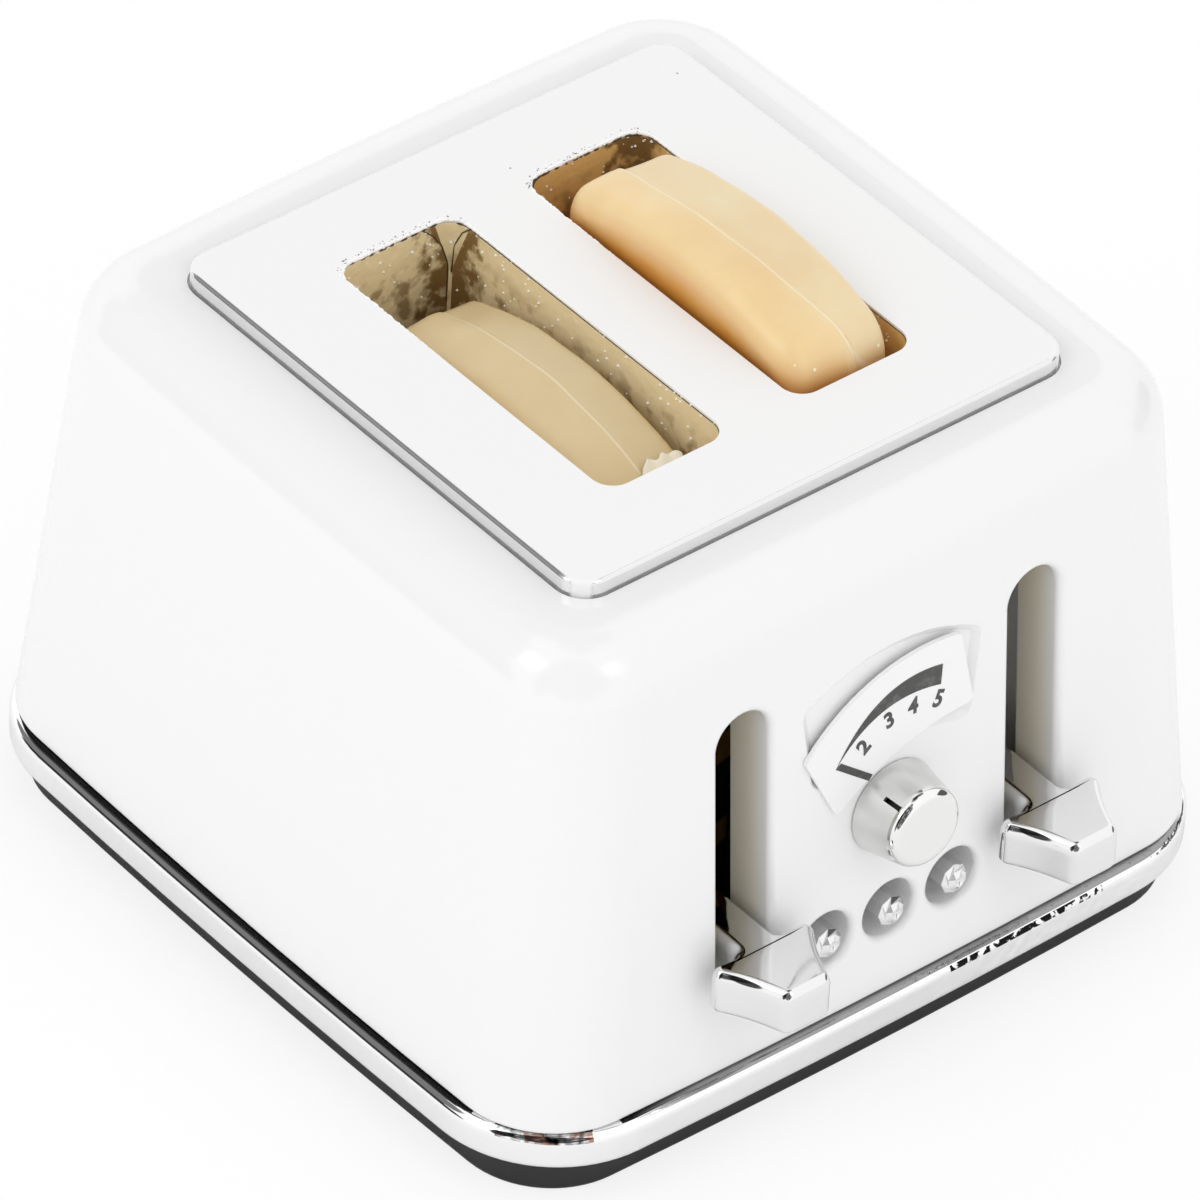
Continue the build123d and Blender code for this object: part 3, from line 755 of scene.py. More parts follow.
@dataclass(frozen=True)
class ToyBread:
    """Soft moulded vinyl bread: waxy and lit from within, deeper in colour down its sides.

    The sides deepen partly as painted shade towards the slot's rim, and the parting line's ridge
    and the glint spots take a painted highlight.

    Attributes:
        crumb: the colour of the crest.
        crust_and_shade: the toast's colour down the sides, deepened towards the rim as painted
            shade.
        pale: the colour beyond the parting line.
        painted_highlight: the painted highlight's colour, on that line's ridge and in the glint
            spots.
        ridge: the "pale" value on the ridge, and how far it may differ.
        ridge_share: how much of the painted highlight the ridge takes.
        shoulder: the "crust" value where the painted glint spots lie, and how far it may differ.
        painted_glints: the painted glint spots.
        blotches: the noise that makes the crust's colour uneven.
        blotch_share: how much it changes it.
        pores: the noise of the skin, and how deep it is.
        pinholes: its pinholes, drawn coarser than real ones, and how deep they are.
        roughness: that of the waxy skin.
        glow_share: how much light goes through the vinyl.
        glow_radius: how far it goes, for red, green and blue.
    """

    name: str
    crumb: str
    # Toast colour down the sides, deepened towards the slot's rim as painted shade.
    crust_and_shade: str
    pale: str
    # Painted highlight, for the parting line's ridge and the glint spots.
    painted_highlight: str = "#FFF4DC"
    ridge: Span = (0.5, 0.06)
    ridge_share: float = 0.35
    shoulder: Span = (0.22, 0.2)
    # Painted glint spots.
    painted_glints: Spots = (0.5, 0.18, 0.3)
    blotches: Noise = (2.8, 0.3, 0.7, 3.0)
    blotch_share: float = 0.2
    pores: tuple[Noise, float] = ((0.5, 0.0, 1.0, 4.0), 0.006)
    pinholes: tuple[Spots, float] = ((0.35, 0.14, 0.05), 0.01)
    roughness: float = 0.38
    glow_share: float = 0.3
    glow_radius: Triple = (1.0, 0.6, 0.3)

    def build(self) -> Material:
        """Makes the material: the mesh's own crust and pale values blend the three colours, and a
        painted highlight goes on the ridge and the glint spots.

        Returns:
            The material.
        """
        surface = Surface(self.name)
        crust_and_shade, pale = (surface.add("Attribute", attribute_name=name).outputs["Fac"]
                       for name in ("crust_and_shade", "pale"))
        uneven = surface.add("Math MULTIPLY_ADD", (surface.clouds(*self.blotches),
                                                   self.blotch_share, crust_and_shade))
        # Painted highlight along the parting line's ridge.
        parting = surface.both(surface.add("Math COMPARE", (pale, *self.ridge)), self.ridge_share)
        # Painted glint spots on the sides' shoulder.
        painted_glints = surface.both(surface.spots(*self.painted_glints),
                              surface.add("Math COMPARE", (crust_and_shade, *self.shoulder)))
        surface.relief((surface.clouds(*self.pores[0]), self.pores[1]),
                       (surface.spots(*self.pinholes[0]), self.pinholes[1]))
        return surface.finish(
            Base_Color=surface.paint(self.crumb, (pale, self.pale), (uneven, self.crust_and_shade),
                                     (parting, self.painted_highlight), (painted_glints, self.painted_highlight)),
            Roughness=self.roughness, Subsurface_Weight=self.glow_share,
            Subsurface_Scale=1.0 * MM, Subsurface_Radius=self.glow_radius)


@dataclass(frozen=True)
class PrintingInk:
    """Dark pad-printed ink, a little thin in places.

    Attributes:
        thin: the noise that picks those places.
    """

    name: str = "grey_printing_ink"
    colour: str = "#454543"
    worn: str = "#6A6A67"
    thin: Noise = (0.35, 0.5, 0.75, 4.0)

    def build(self) -> Material:
        """Makes the material: noise picks the worn places.

        Returns:
            The material.
        """
        surface = Surface(self.name)
        thin = surface.clouds(*self.thin)
        return surface.finish(Base_Color=surface.paint(self.colour, (thin, self.worn)),
                              Roughness=0.45)


def made_of(finish: Any) -> Any:
    """A field whose value is the material that a finish builds."""
    return field(default_factory=finish.build)


@dataclass
class Finishes:
    """Every material of the toaster, made once."""

    shell: Material = made_of(GlossyAbs())
    plate: Material = made_of(PlateChrome())
    trim: Material = made_of(TrimChrome())
    chrome: Material = made_of(ChromePlating("bright_chrome"))
    frost: Material = made_of(MouldedMatte("frosted_plating", "#FFFFFF", 0.25))
    tray: Material = made_of(MetallisedFrame("smoked_tray", "#1C120E", "#94692F", 3.1))
    knob: Material = made_of(KnobChrome())
    base: Material = made_of(MouldedMatte("black_moulded_abs", "#1B1B1C", 0.42))
    inner: Material = made_of(MetallisedFrame())
    card: Material = made_of(MouldedMatte("white_scale_plate", "#F8F8F8", 0.35))
    ink: Material = made_of(PrintingInk())
    steel: Material = made_of(PlainSteel())
    clip: Material = made_of(MouldedMatte("black_acetal", "#1E1E20", 0.4))
    # Dark seams and specks, and also the painted shadow bead under the slots' rims.
    seam: Material = made_of(MouldedMatte("dark_seam_and_shadow", "#4A3B22", 0.4))
    wax: Material = made_of(MouldedMatte("white_moulding_flash", "#F6EEDC", 0.3))
    pale_bread: Material = made_of(ToyBread("pale_vinyl_bread", "#DFCAA0", "#C2A262", "#D6C29A"))
    gold_bread: Material = made_of(ToyBread("golden_vinyl_bread", "#F3D9A6", "#DB9A45", "#EDDBB4"))


# Meshes


def closed_rows(rows: int, columns: int) -> Array:
    """Quads that join the points of rows that each close on themselves.

    Args:
        rows: how many rows.
        columns: points in each row.

    Returns:
        One row of four point numbers for each quad.
    """
    row, column = np.meshgrid(np.arange(rows - 1), np.arange(columns), indexing="ij")
    beside = (column + 1) % columns
    here = row * columns
    above = here + columns
    quads = np.stack([here + column, here + beside, above + beside, above + column], -1)
    return quads.reshape(-1, 4)


def make_piece(name: str, points: Array, faces: Faces, material: Material,
               smooth: bool = True) -> Piece:
    """Makes one mesh object.

    Args:
        name: the piece's name.
        points: its points in millimetres, one row each.
        faces: lists of point numbers.
        material: its finish.
        smooth: whether its faces are shaded smooth.

    Returns:
        The new object, in the scene.
    """
    mesh = bpy.data.meshes.new(name)
    mesh.from_pydata((np.asarray(points, float) * MM).tolist(), [], faces)
    mesh.polygons.foreach_set("use_smooth", np.full(len(mesh.polygons), smooth))
    mesh.materials.append(material)
    mesh.update()
    piece = bpy.data.objects.new(name, mesh)
    bpy.context.scene.collection.objects.link(piece)
    LOG.info("made %s with %d faces", name, len(mesh.polygons))
    return piece


def capped_rows(rows: Array) -> tuple[Array, Faces]:
    """Closes a stack of closed rows with one many-sided face at each end.

    Args:
        rows: points by row and column, the first row seen last from outside.

    Returns:
        The points as one list, and all the faces.
    """
    count, columns = rows.shape[:2]
    faces = closed_rows(count, columns).tolist()
    faces.append(list(range(columns))[::-1])
    faces.append(list(range((count - 1) * columns, count * columns)))
    return rows.reshape(-1, 3), faces


def sweep(path: Array, radius: Array, up: Array, closed: bool = False) -> tuple[Array, Faces]:
    """A bead along a path: six points round each of its points.

    They lie in the plane across the path, which two cross products with its direction give.

    Args:
        path: the path's points.
        radius: the bead's radius at each of them.
        up: a direction that the path never runs along.
        closed: whether the path joins its own start.

    Returns:
        The bead's points and faces.
    """
    tangent = np.roll(path, -1, 0) - np.roll(path, 1, 0)
    if not closed:
        tangent[[0, -1]] = path[[1, -1]] - path[[0, -2]]
    across = np.cross(tangent, up)
    across /= np.linalg.norm(across, axis=1, keepdims=True)
    over = np.cross(across, tangent)
    over /= np.linalg.norm(over, axis=1, keepdims=True)
    around = np.linspace(math.tau, 0.0, 7)[:-1]
    offset = (across[:, None] * np.cos(around)[None, :, None]
              + over[:, None] * np.sin(around)[None, :, None])
    rings = path[:, None] + offset * radius[:, None, None]
    if closed:
        faces = closed_rows(len(path) + 1, 6) % (len(path) * 6)
        return rings.reshape(-1, 3), faces.tolist()
    return capped_rows(rings)


def resample(outline: Array, count: int) -> Array:
    """Evenly spaced points along a closed outline.

    Args:
        outline: its points, X and Y.
        count: how many points to give.

    Returns:
        The new points.
    """
    ring = np.concatenate([outline, outline[:1]])
    steps = np.linalg.norm(np.diff(ring, axis=0), axis=1)
    length = np.concatenate([[0.0], np.cumsum(steps)])
    wanted = np.linspace(0.0, length[-1], count, endpoint=False)
    return np.stack([np.interp(wanted, length, ring[:, i]) for i in (0, 1)], -1)


def round_corner(before: Array, corner: Array, after: Array, radius: float) -> Array:
    """A corner replaced by an arc that touches both of its sides.

    The arc's points turn evenly from one side's touching point, seen from the arc's centre, to
    the other's.

    Args:
        before: the corner before it.
        corner: the corner itself.
        after: the corner after it.
        radius: the arc's radius.

    Returns:
        Nine points.
    """
    first = (before - corner) / np.linalg.norm(before - corner)
    second = (after - corner) / np.linalg.norm(after - corner)
    half_angle = math.acos(float(np.clip(first @ second, -1.0, 1.0))) / 2
    reach = radius / math.tan(half_angle)
    middle = (first + second) / np.linalg.norm(first + second)
    centre = corner + middle * radius / math.sin(half_angle)
    turn = math.pi - 2 * half_angle
    share = np.linspace(0.0, 1.0, 9)[:, None]
    start, end = corner + first * reach - centre, corner + second * reach - centre
    arc = np.sin((1 - share) * turn) * start + np.sin(share * turn) * end
    return centre + arc / math.sin(turn)


def turned(flat: Array, angle: float) -> Array:
    """Points turned counterclockwise round their origin.

    Args:
        flat: the points, X and Y.
        angle: the turn in radians.

    Returns:
        The turned points.
    """
    cosine, sine = math.cos(angle), math.sin(angle)
    x, y = flat[:, 0], flat[:, 1]
    return np.stack([x * cosine - y * sine, x * sine + y * cosine], -1)


def dress(node_name: str, material: Material) -> None:
    """Gives a CAD node one material in place of its plain one.

    Args:
        node_name: the node.
        material: its finish.
    """
    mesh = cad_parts[node_name].data
    mesh.materials.clear()
    mesh.materials.append(material)
    LOG.info("dressed %s in %s", node_name, material.name)


def wall_points(flat: Array, x: float = 0.0, z: float = KNOB_Z) -> Array:
    """Moves points from the front wall's own frame into the toaster's.

    Args:
        flat: points with x to the right, y up along the wall and z outwards.
        x: where that frame's origin is on the wall.
        z: its height.

    Returns:
        The same points in the toaster's frame.
    """
    outwards = np.array([0.0, -math.cos(WALL_LEAN), math.sin(WALL_LEAN)])
    upwards = np.array([0.0, math.sin(WALL_LEAN), math.cos(WALL_LEAN)])
    rightwards = np.array([1.0, 0.0, 0.0])
    face_y = -(WALL_FOOT - (z - WALL_FOOT_Z) * math.tan(WALL_LEAN))
    return np.array([x, face_y, z]) + flat @ np.stack([rightwards, upwards, outwards])


def smooth_waves(points: Array, size: float, seed: float) -> Array:
    """A slow random-looking value for each point: three sine waves that cross, from -1 to 1.

    Args:
        points: the points.
        size: the length of the longest wave.
        seed: shifts the waves.

    Returns:
        One value for each point.
    """
    x, y, z = (points[..., i] * math.tau / size for i in range(3))
    first = np.sin(x * 1.0 + y * 1.7 + z * 0.6 + seed)
    second = np.sin(x * -2.1 + y * 1.1 + z * 1.9 + seed * 2.3)
    third = np.sin(x * 1.3 - y * 2.7 + z * 2.3 + seed * 4.1)
    return (first + 0.6 * second + 0.4 * third) / 2.0


# Sub-assemblies


@dataclass
class Body:
    """The fixed pieces: shell, plate, trim, base, inner frame, the plating's faults and a painted
    shadow under each slot's rim.

    Attributes:
        finishes: the materials.
        rim_points: how many points the beads round a slot's rim have.
        burr_radius: the burr's radius at the back, before its roughness.
        burr_drop: how far under the plate's face the burr's middle lies.
        edge_drop: how far under the burr the dark bead of painted shadow lies.
        edge_radius: that bead's radius along the slot's sides.
        edge_back: its radius at the back, where it shows and where it is broken off.
        edge_corner: its radius at the back left corner of the left slot and of the right one.
        back_from: how far back the rim starts where the painted shadow is broken, and the one that
            has
        chips and specks.
        walls_from: how far to the right, or how far back, the walls with grains start.
        grains: how many grains each slot's walls have; its rim has as many chips and specks.
        grain_radius: the least and the most of a grain's radius.
        grain_depth: how far down the walls the grains go.
        seam_radius: the weld seam's radius.
    """

    finishes: Finishes
    rim_points: int = 420
    burr_radius: float = 0.06
    burr_drop: float = 0.03
    edge_drop: float = 0.12
    edge_radius: float = 0.03
    edge_back: Span = (0.05, 0.008)
    edge_corner: Span = (0.01, 0.1)
    back_from: Span = (7.6, 7.4)
    walls_from: Span = (2.8, 7.0)
    grains: int = 110
    grain_radius: Span = (0.035, 0.085)
    grain_depth: float = 3.4
    seam_radius: float = 0.03

    def dress(self) -> None:
        """Gives every fixed node its finish."""
        finishes = self.finishes
        for node_name, material in {
            "housing": finishes.shell, "top_plate": finishes.plate, "base_trim": finishes.trim,
            "base_plate": finishes.base, "base_screws": finishes.steel,
            "guide_frame": finishes.inner, "button_spring": finishes.steel,
        }.items():
            dress(node_name, material)

    def build(self) -> None:
        """Makes the beads round each bread slot's rim, the grains on its walls and the seam."""
        for side in Side:
            self.make_burr(side)
            self.make_grains(side)
        self.make_seam()

    def even_outline(self, count: int) -> Array:
        """Evenly spaced points along a slot's rim.

        The rim is a rectangle with round corners: a small circle whose centre is pushed out to
        the nearest corner of the rectangle between the corners' centres.

        Args:
            count: how many points to give.

        Returns:
            The points, X and Y from the slot's middle.
        """
        turns = np.linspace(0.0, math.tau, 4001)[:-1]
        normal = np.stack([np.cos(turns), np.sin(turns)], -1)
        reach = np.array([SLOT_HALF_WIDTH, SLOT_HALF_LENGTH]) - SLOT_CORNER
        fine = np.clip(normal * 60.0, -1.0, 1.0) * reach + normal * SLOT_CORNER
        return resample(fine, count)

    def at_slot(self, flat: Array, side: Side, z: Any) -> Array:
        """Moves points from a slot's own frame into the toaster's.

        Args:
            flat: the points, X and Y from the slot's middle.
            side: which slot.
            z: one height for all of them, or one for each.

        Returns:
            The points in the toaster's frame.
        """
        return np.column_stack([flat[:, 0] + side.value * SLOT_X, flat[:, 1],
                                np.broadcast_to(z, len(flat))])

    def make_burr(self, side: Side) -> None:
        """Makes one slot's burr: a bead, rougher at the back, and a dark painted shadow bead under
        it.

        That painted shadow comes and goes at the back, and blends into another radius over the
        last
        1.5 mm before the back left corner.

        Args:
            side: which slot.
        """
        outline = self.even_outline(self.rim_points)
        back = np.clip(outline[:, 1] / SLOT_HALF_LENGTH, 0.0, 1.0)
        rng = np.random.default_rng(4 + side.value)
        rough = rng.uniform(-1.0, 1.0, self.rim_points)
        radius = self.burr_radius * (0.2 + 0.8 * back * (1.0 + 0.9 * rough))
        path = self.at_slot(outline, side, PLATE_TOP - self.burr_drop)
        upwards = np.array([0.0, 0.0, 1.0])
        points, faces = sweep(path, radius, upwards, True)
        self.place(make_piece(f"slot_burr_{side.word}", points, faces, self.finishes.frost, False))
        # Painted shadow under the slot's rim: a thin dark bead.
        broken = np.where(smooth_waves(path, 0.5, 3.0) > 0.0, *self.edge_back)
        thin = np.where(outline[:, 1] > self.back_from[0], broken, self.edge_radius)
        corner = np.hypot(outline[:, 0] + SLOT_HALF_WIDTH, outline[:, 1] - SLOT_HALF_LENGTH)
        thick = dict(zip(Side, self.edge_corner))[side]
        thin = thin + (thick - thin) * np.clip(1.5 - corner, 0.0, 1.0)
        points, faces = sweep(path - self.edge_drop * upwards, thin, upwards, True)
        self.place(make_piece(f"slot_rim_shadow_{side.word}", points, faces, self.finishes.seam, False))

    def make_grains(self, side: Side) -> None:
        """Scatters bright grains over one slot's walls, and chips and dark specks round its back
        rim.

        Args:
            side: which slot.
        """
        finishes, word = self.finishes, side.word
        rng = np.random.default_rng(40 + side.value)
        outline = self.even_outline(2000)
        shown = outline[(outline > self.walls_from).any(1)]
        flat = shown[rng.integers(0, len(shown), self.grains)]
        z = PLATE_TOP - 0.1 - self.grain_depth * rng.random(self.grains) ** 1.4
        radius = rng.uniform(*self.grain_radius, self.grains)
        self.scatter(f"slot_grains_{word}", self.at_slot(flat, side, z), radius, finishes.frost)
        rim = outline[outline[:, 1] > self.back_from[1]]
        flat = rim[rng.integers(0, len(rim), self.grains)]
        flat = flat * (1.0 + rng.uniform(0.0, 0.03, (self.grains, 1)))
        around = self.at_slot(flat, side, PLATE_TOP + 0.005)
        half = self.grains // 2
        self.scatter(f"slot_dark_specks_{word}", around[:half], 0.45 * radius[:half], finishes.seam)
        self.scatter(f"slot_chips_{word}", around[half:], 0.9 * radius[half:], finishes.frost)

    def scatter(self, name: str, middles: Array, radius: Array, material: Material) -> None:
        """Makes one piece of many small eight-sided beads.

        Args:
            name: the piece's name.
            middles: each bead's middle.
            radius: each bead's radius.
            material: the beads' finish.
        """
        corners = np.array([[1, 0, 0], [0, 1, 0], [-1, 0, 0], [0, -1, 0], [0, 0, 1], [0, 0, -1]])
        points = middles[:, None] + corners[None] * radius[:, None, None]
        bead = np.array([[0, 1, 4], [1, 2, 4], [2, 3, 4], [3, 0, 4],
                         [1, 0, 5], [2, 1, 5], [3, 2, 5], [0, 3, 5]])
        faces = (bead[None] + 6 * np.arange(len(middles))[:, None, None]).reshape(-1, 3)
        self.place(make_piece(name, points.reshape(-1, 3), faces.tolist(), material, False))

    def make_seam(self) -> None:
        """Makes the forked weld seam in the left slot's back right corner: two thin beads."""
        bend = SLOT_CORNER * (1 - math.sqrt(0.5))
        x = -SLOT_X + SLOT_HALF_WIDTH
        left = [(x - 1.55, SLOT_HALF_LENGTH, 25.0), (x - 1.0, SLOT_HALF_LENGTH, 24.5),
                (x - 0.6, 8.14, 23.9), (x - bend - 0.08, 8.0, 23.0), (x - bend - 0.08, 8.0, 21.2)]
        right = [(x, SLOT_HALF_LENGTH - 1.0, 25.0), (x - 0.06, 7.6, 24.6),
                 (x - bend + 0.08, 7.86, 23.9), (x - bend + 0.02, 7.9, 22.6)]
        for name, corners in (("left", left), ("right", right)):
            steps = np.linspace(0.0, len(corners) - 1.0, 30)
            path = np.stack([np.interp(steps, np.arange(len(corners)), axis)
                             for axis in np.transpose(corners)], -1)
            points, faces = sweep(path, np.full(30, self.seam_radius), np.array([1.0, 1.0, 0.0]))
            self.place(make_piece(f"slot_seam_{name}", points, faces, self.finishes.seam))

    def place(self, piece: Piece) -> None:
        """Lets a piece ride on the body."""
        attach(piece, "body")


@dataclass
class Scale:
    """The print on the scale plate: a crescent that thickens, its foot and four digits.

    Places are in the plate's own frame, X and Y from the knob's axis.

    Attributes:
        finishes: the materials.
        ink: the heights over the wall of the ink's underside and of its face.
        outer: the crescent's outer edge, a parabola: its factors of x x and of x, and its rest.
        outer_x: the values of x where that edge starts and ends.
        inner: the crescent's inner edge, in the same way.
        inner_x: the values of x where that edge starts and ends.
        foot: the corners of the bar at the low end.
        digits: each digit with the place of its middle.
        digit_centre: the place that the digits' feet point to.
        digit_height: how high a digit is.
        digit_width: how wide it is, as a share of the font's own width.
        digit_weight: how much its strokes are widened.
    """

    finishes: Finishes
    ink: Span = (0.195, 0.212)
    outer: Triple = (-0.125, 0.3886, 5.0229)
    outer_x: Span = (-1.8, 3.96)
    inner: Triple = (-0.1199, 0.1818, 4.6589)
    inner_x: Span = (-1.48, 3.59)
    foot: tuple[Span, ...] = ((-1.80, 3.94), (-1.50, 4.02), (-0.42, 2.34), (-0.66, 2.18))
    digits: tuple[tuple[str, float, float], ...] = (
        ("2", -0.38, 3.92), ("3", 1.02, 4.14), ("4", 2.18, 3.85), ("5", 3.29, 3.22))
    digit_centre: Span = (0.83, 0.36)
    digit_height: float = 0.78
    digit_width: float = 0.92
    digit_weight: float = 0.035

    def build(self) -> None:
        """Makes the whole print."""
        dress("scale_plate", self.finishes.card)
        outer, inner = self.arc(self.outer, self.outer_x), self.arc(self.inner, self.inner_x)
        self.print_shape("scale_crescent", np.concatenate([outer, inner[::-1]]))
        self.print_shape("scale_foot", np.array(self.foot))
        for digit, x, y in self.digits:
            self.print_digit(digit, x, y)

    def arc(self, curve: Triple, ends: Span) -> Array:
        """Forty points on the parabola a x x + b x + c between two values of x."""
        x = np.linspace(*ends, 40)
        return np.stack([x, np.polyval(curve, x)], -1)

    def on_label(self, flat: Array, height: float) -> Array:
        """Places points of the tilted plate's own frame at a height over the wall."""
        return wall_points(np.column_stack([turned(flat, SCALE_TILT), np.full(len(flat), height)]))

    def print_shape(self, name: str, outline: Array) -> None:
        """Makes a thin closed slab of ink.

        Args:
            name: the piece's name.
            outline: its points, clockwise.
        """
        rows = np.stack([self.on_label(outline[::-1], height) for height in self.ink])
        points, faces = capped_rows(rows)
        self.finish(make_piece(name, points, faces, self.finishes.ink, False))

    def print_digit(self, digit: str, x: float, y: float) -> None:
        """Makes one digit: a letter's outline as a thin mesh, its foot towards the knob.

        Args:
            digit: the digit.
            x: the place of its middle.
            y: the same, up the plate.
        """
        curve = bpy.data.curves.new(f"digit_{digit}", "FONT")
        curve.body = digit
        curve.size = 1.0
        curve.offset = self.digit_weight
        curve.extrude = 0.5
        letter = bpy.data.objects.new(f"digit_{digit}", curve)
        mesh = bpy.data.meshes.new_from_object(letter)
        bpy.data.objects.remove(letter)
        joined = bmesh.new()
        joined.from_mesh(mesh)
        bmesh.ops.remove_doubles(joined, verts=joined.verts, dist=1e-5)
        joined.to_mesh(mesh)
        joined.free()
        flat = np.empty(len(mesh.vertices) * 3)
        mesh.vertices.foreach_get("co", flat)
        flat = flat.reshape(-1, 3)
        size = self.digit_height / np.ptp(flat[:, 1])
        middle = (flat.min(0) + flat.max(0)) / 2
        local = (flat - middle)[:, :2] * np.array([size * self.digit_width, size])
        turn = math.atan2(y - self.digit_centre[1], x - self.digit_centre[0]) - math.pi / 2
        placed = np.array([x, y]) + turned(local, turn)
        low, high = (self.on_label(placed, height) for height in self.ink)
        points = np.where(flat[:, 2:3] > 0, high, low)
        faces = [list(polygon.vertices) for polygon in mesh.polygons]
        self.finish(make_piece(f"scale_digit_{digit}", points, faces, self.finishes.ink, False))

    def finish(self, piece: Piece) -> None:
        """Lets a printed piece ride on the body."""
        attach(piece, "body")


@dataclass
class PushButton:
    """A chrome stud cut in facets, with its shank and the flange behind the wall.

    Attributes:
        name: which button it is.
        x: its place along the wall.
        finishes: the materials.
        sides: how many sides it has round.
        rings: each ring of corners from the flange's back to the face: its height over the wall,
            its radius and how far it is turned, in sides.
    """

    name: str
    x: float
    finishes: Finishes
    sides: int = 8
    rings: tuple[Triple, ...] = (
        (-2.89, 1.42, 0.0), (-2.44, 1.42, 0.0), (-2.44, 0.65, 0.0), (0.0, 0.65, 0.0),
        (0.035, 0.65, 0.0), (0.21, 0.468, 0.5), (0.35, 0.234, 0.0), (0.28, 0.078, 0.5))

    def build(self) -> None:
        """Makes the button from its rings of corners."""
        rows = []
        for height, radius, turn in self.rings:
            angles = (np.arange(self.sides) + turn) * math.tau / self.sides
            rows.append(np.stack([radius * np.cos(angles), radius * np.sin(angles),
                                  np.full(self.sides, height)], -1))
        points, faces = capped_rows(np.array(rows))
        stud = make_piece(f"stud_{self.name}", wall_points(points, self.x, BUTTON_Z), faces,
                          self.finishes.chrome, False)
        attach(stud, f"button_{self.name}")
        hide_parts(f"button_{self.name}")


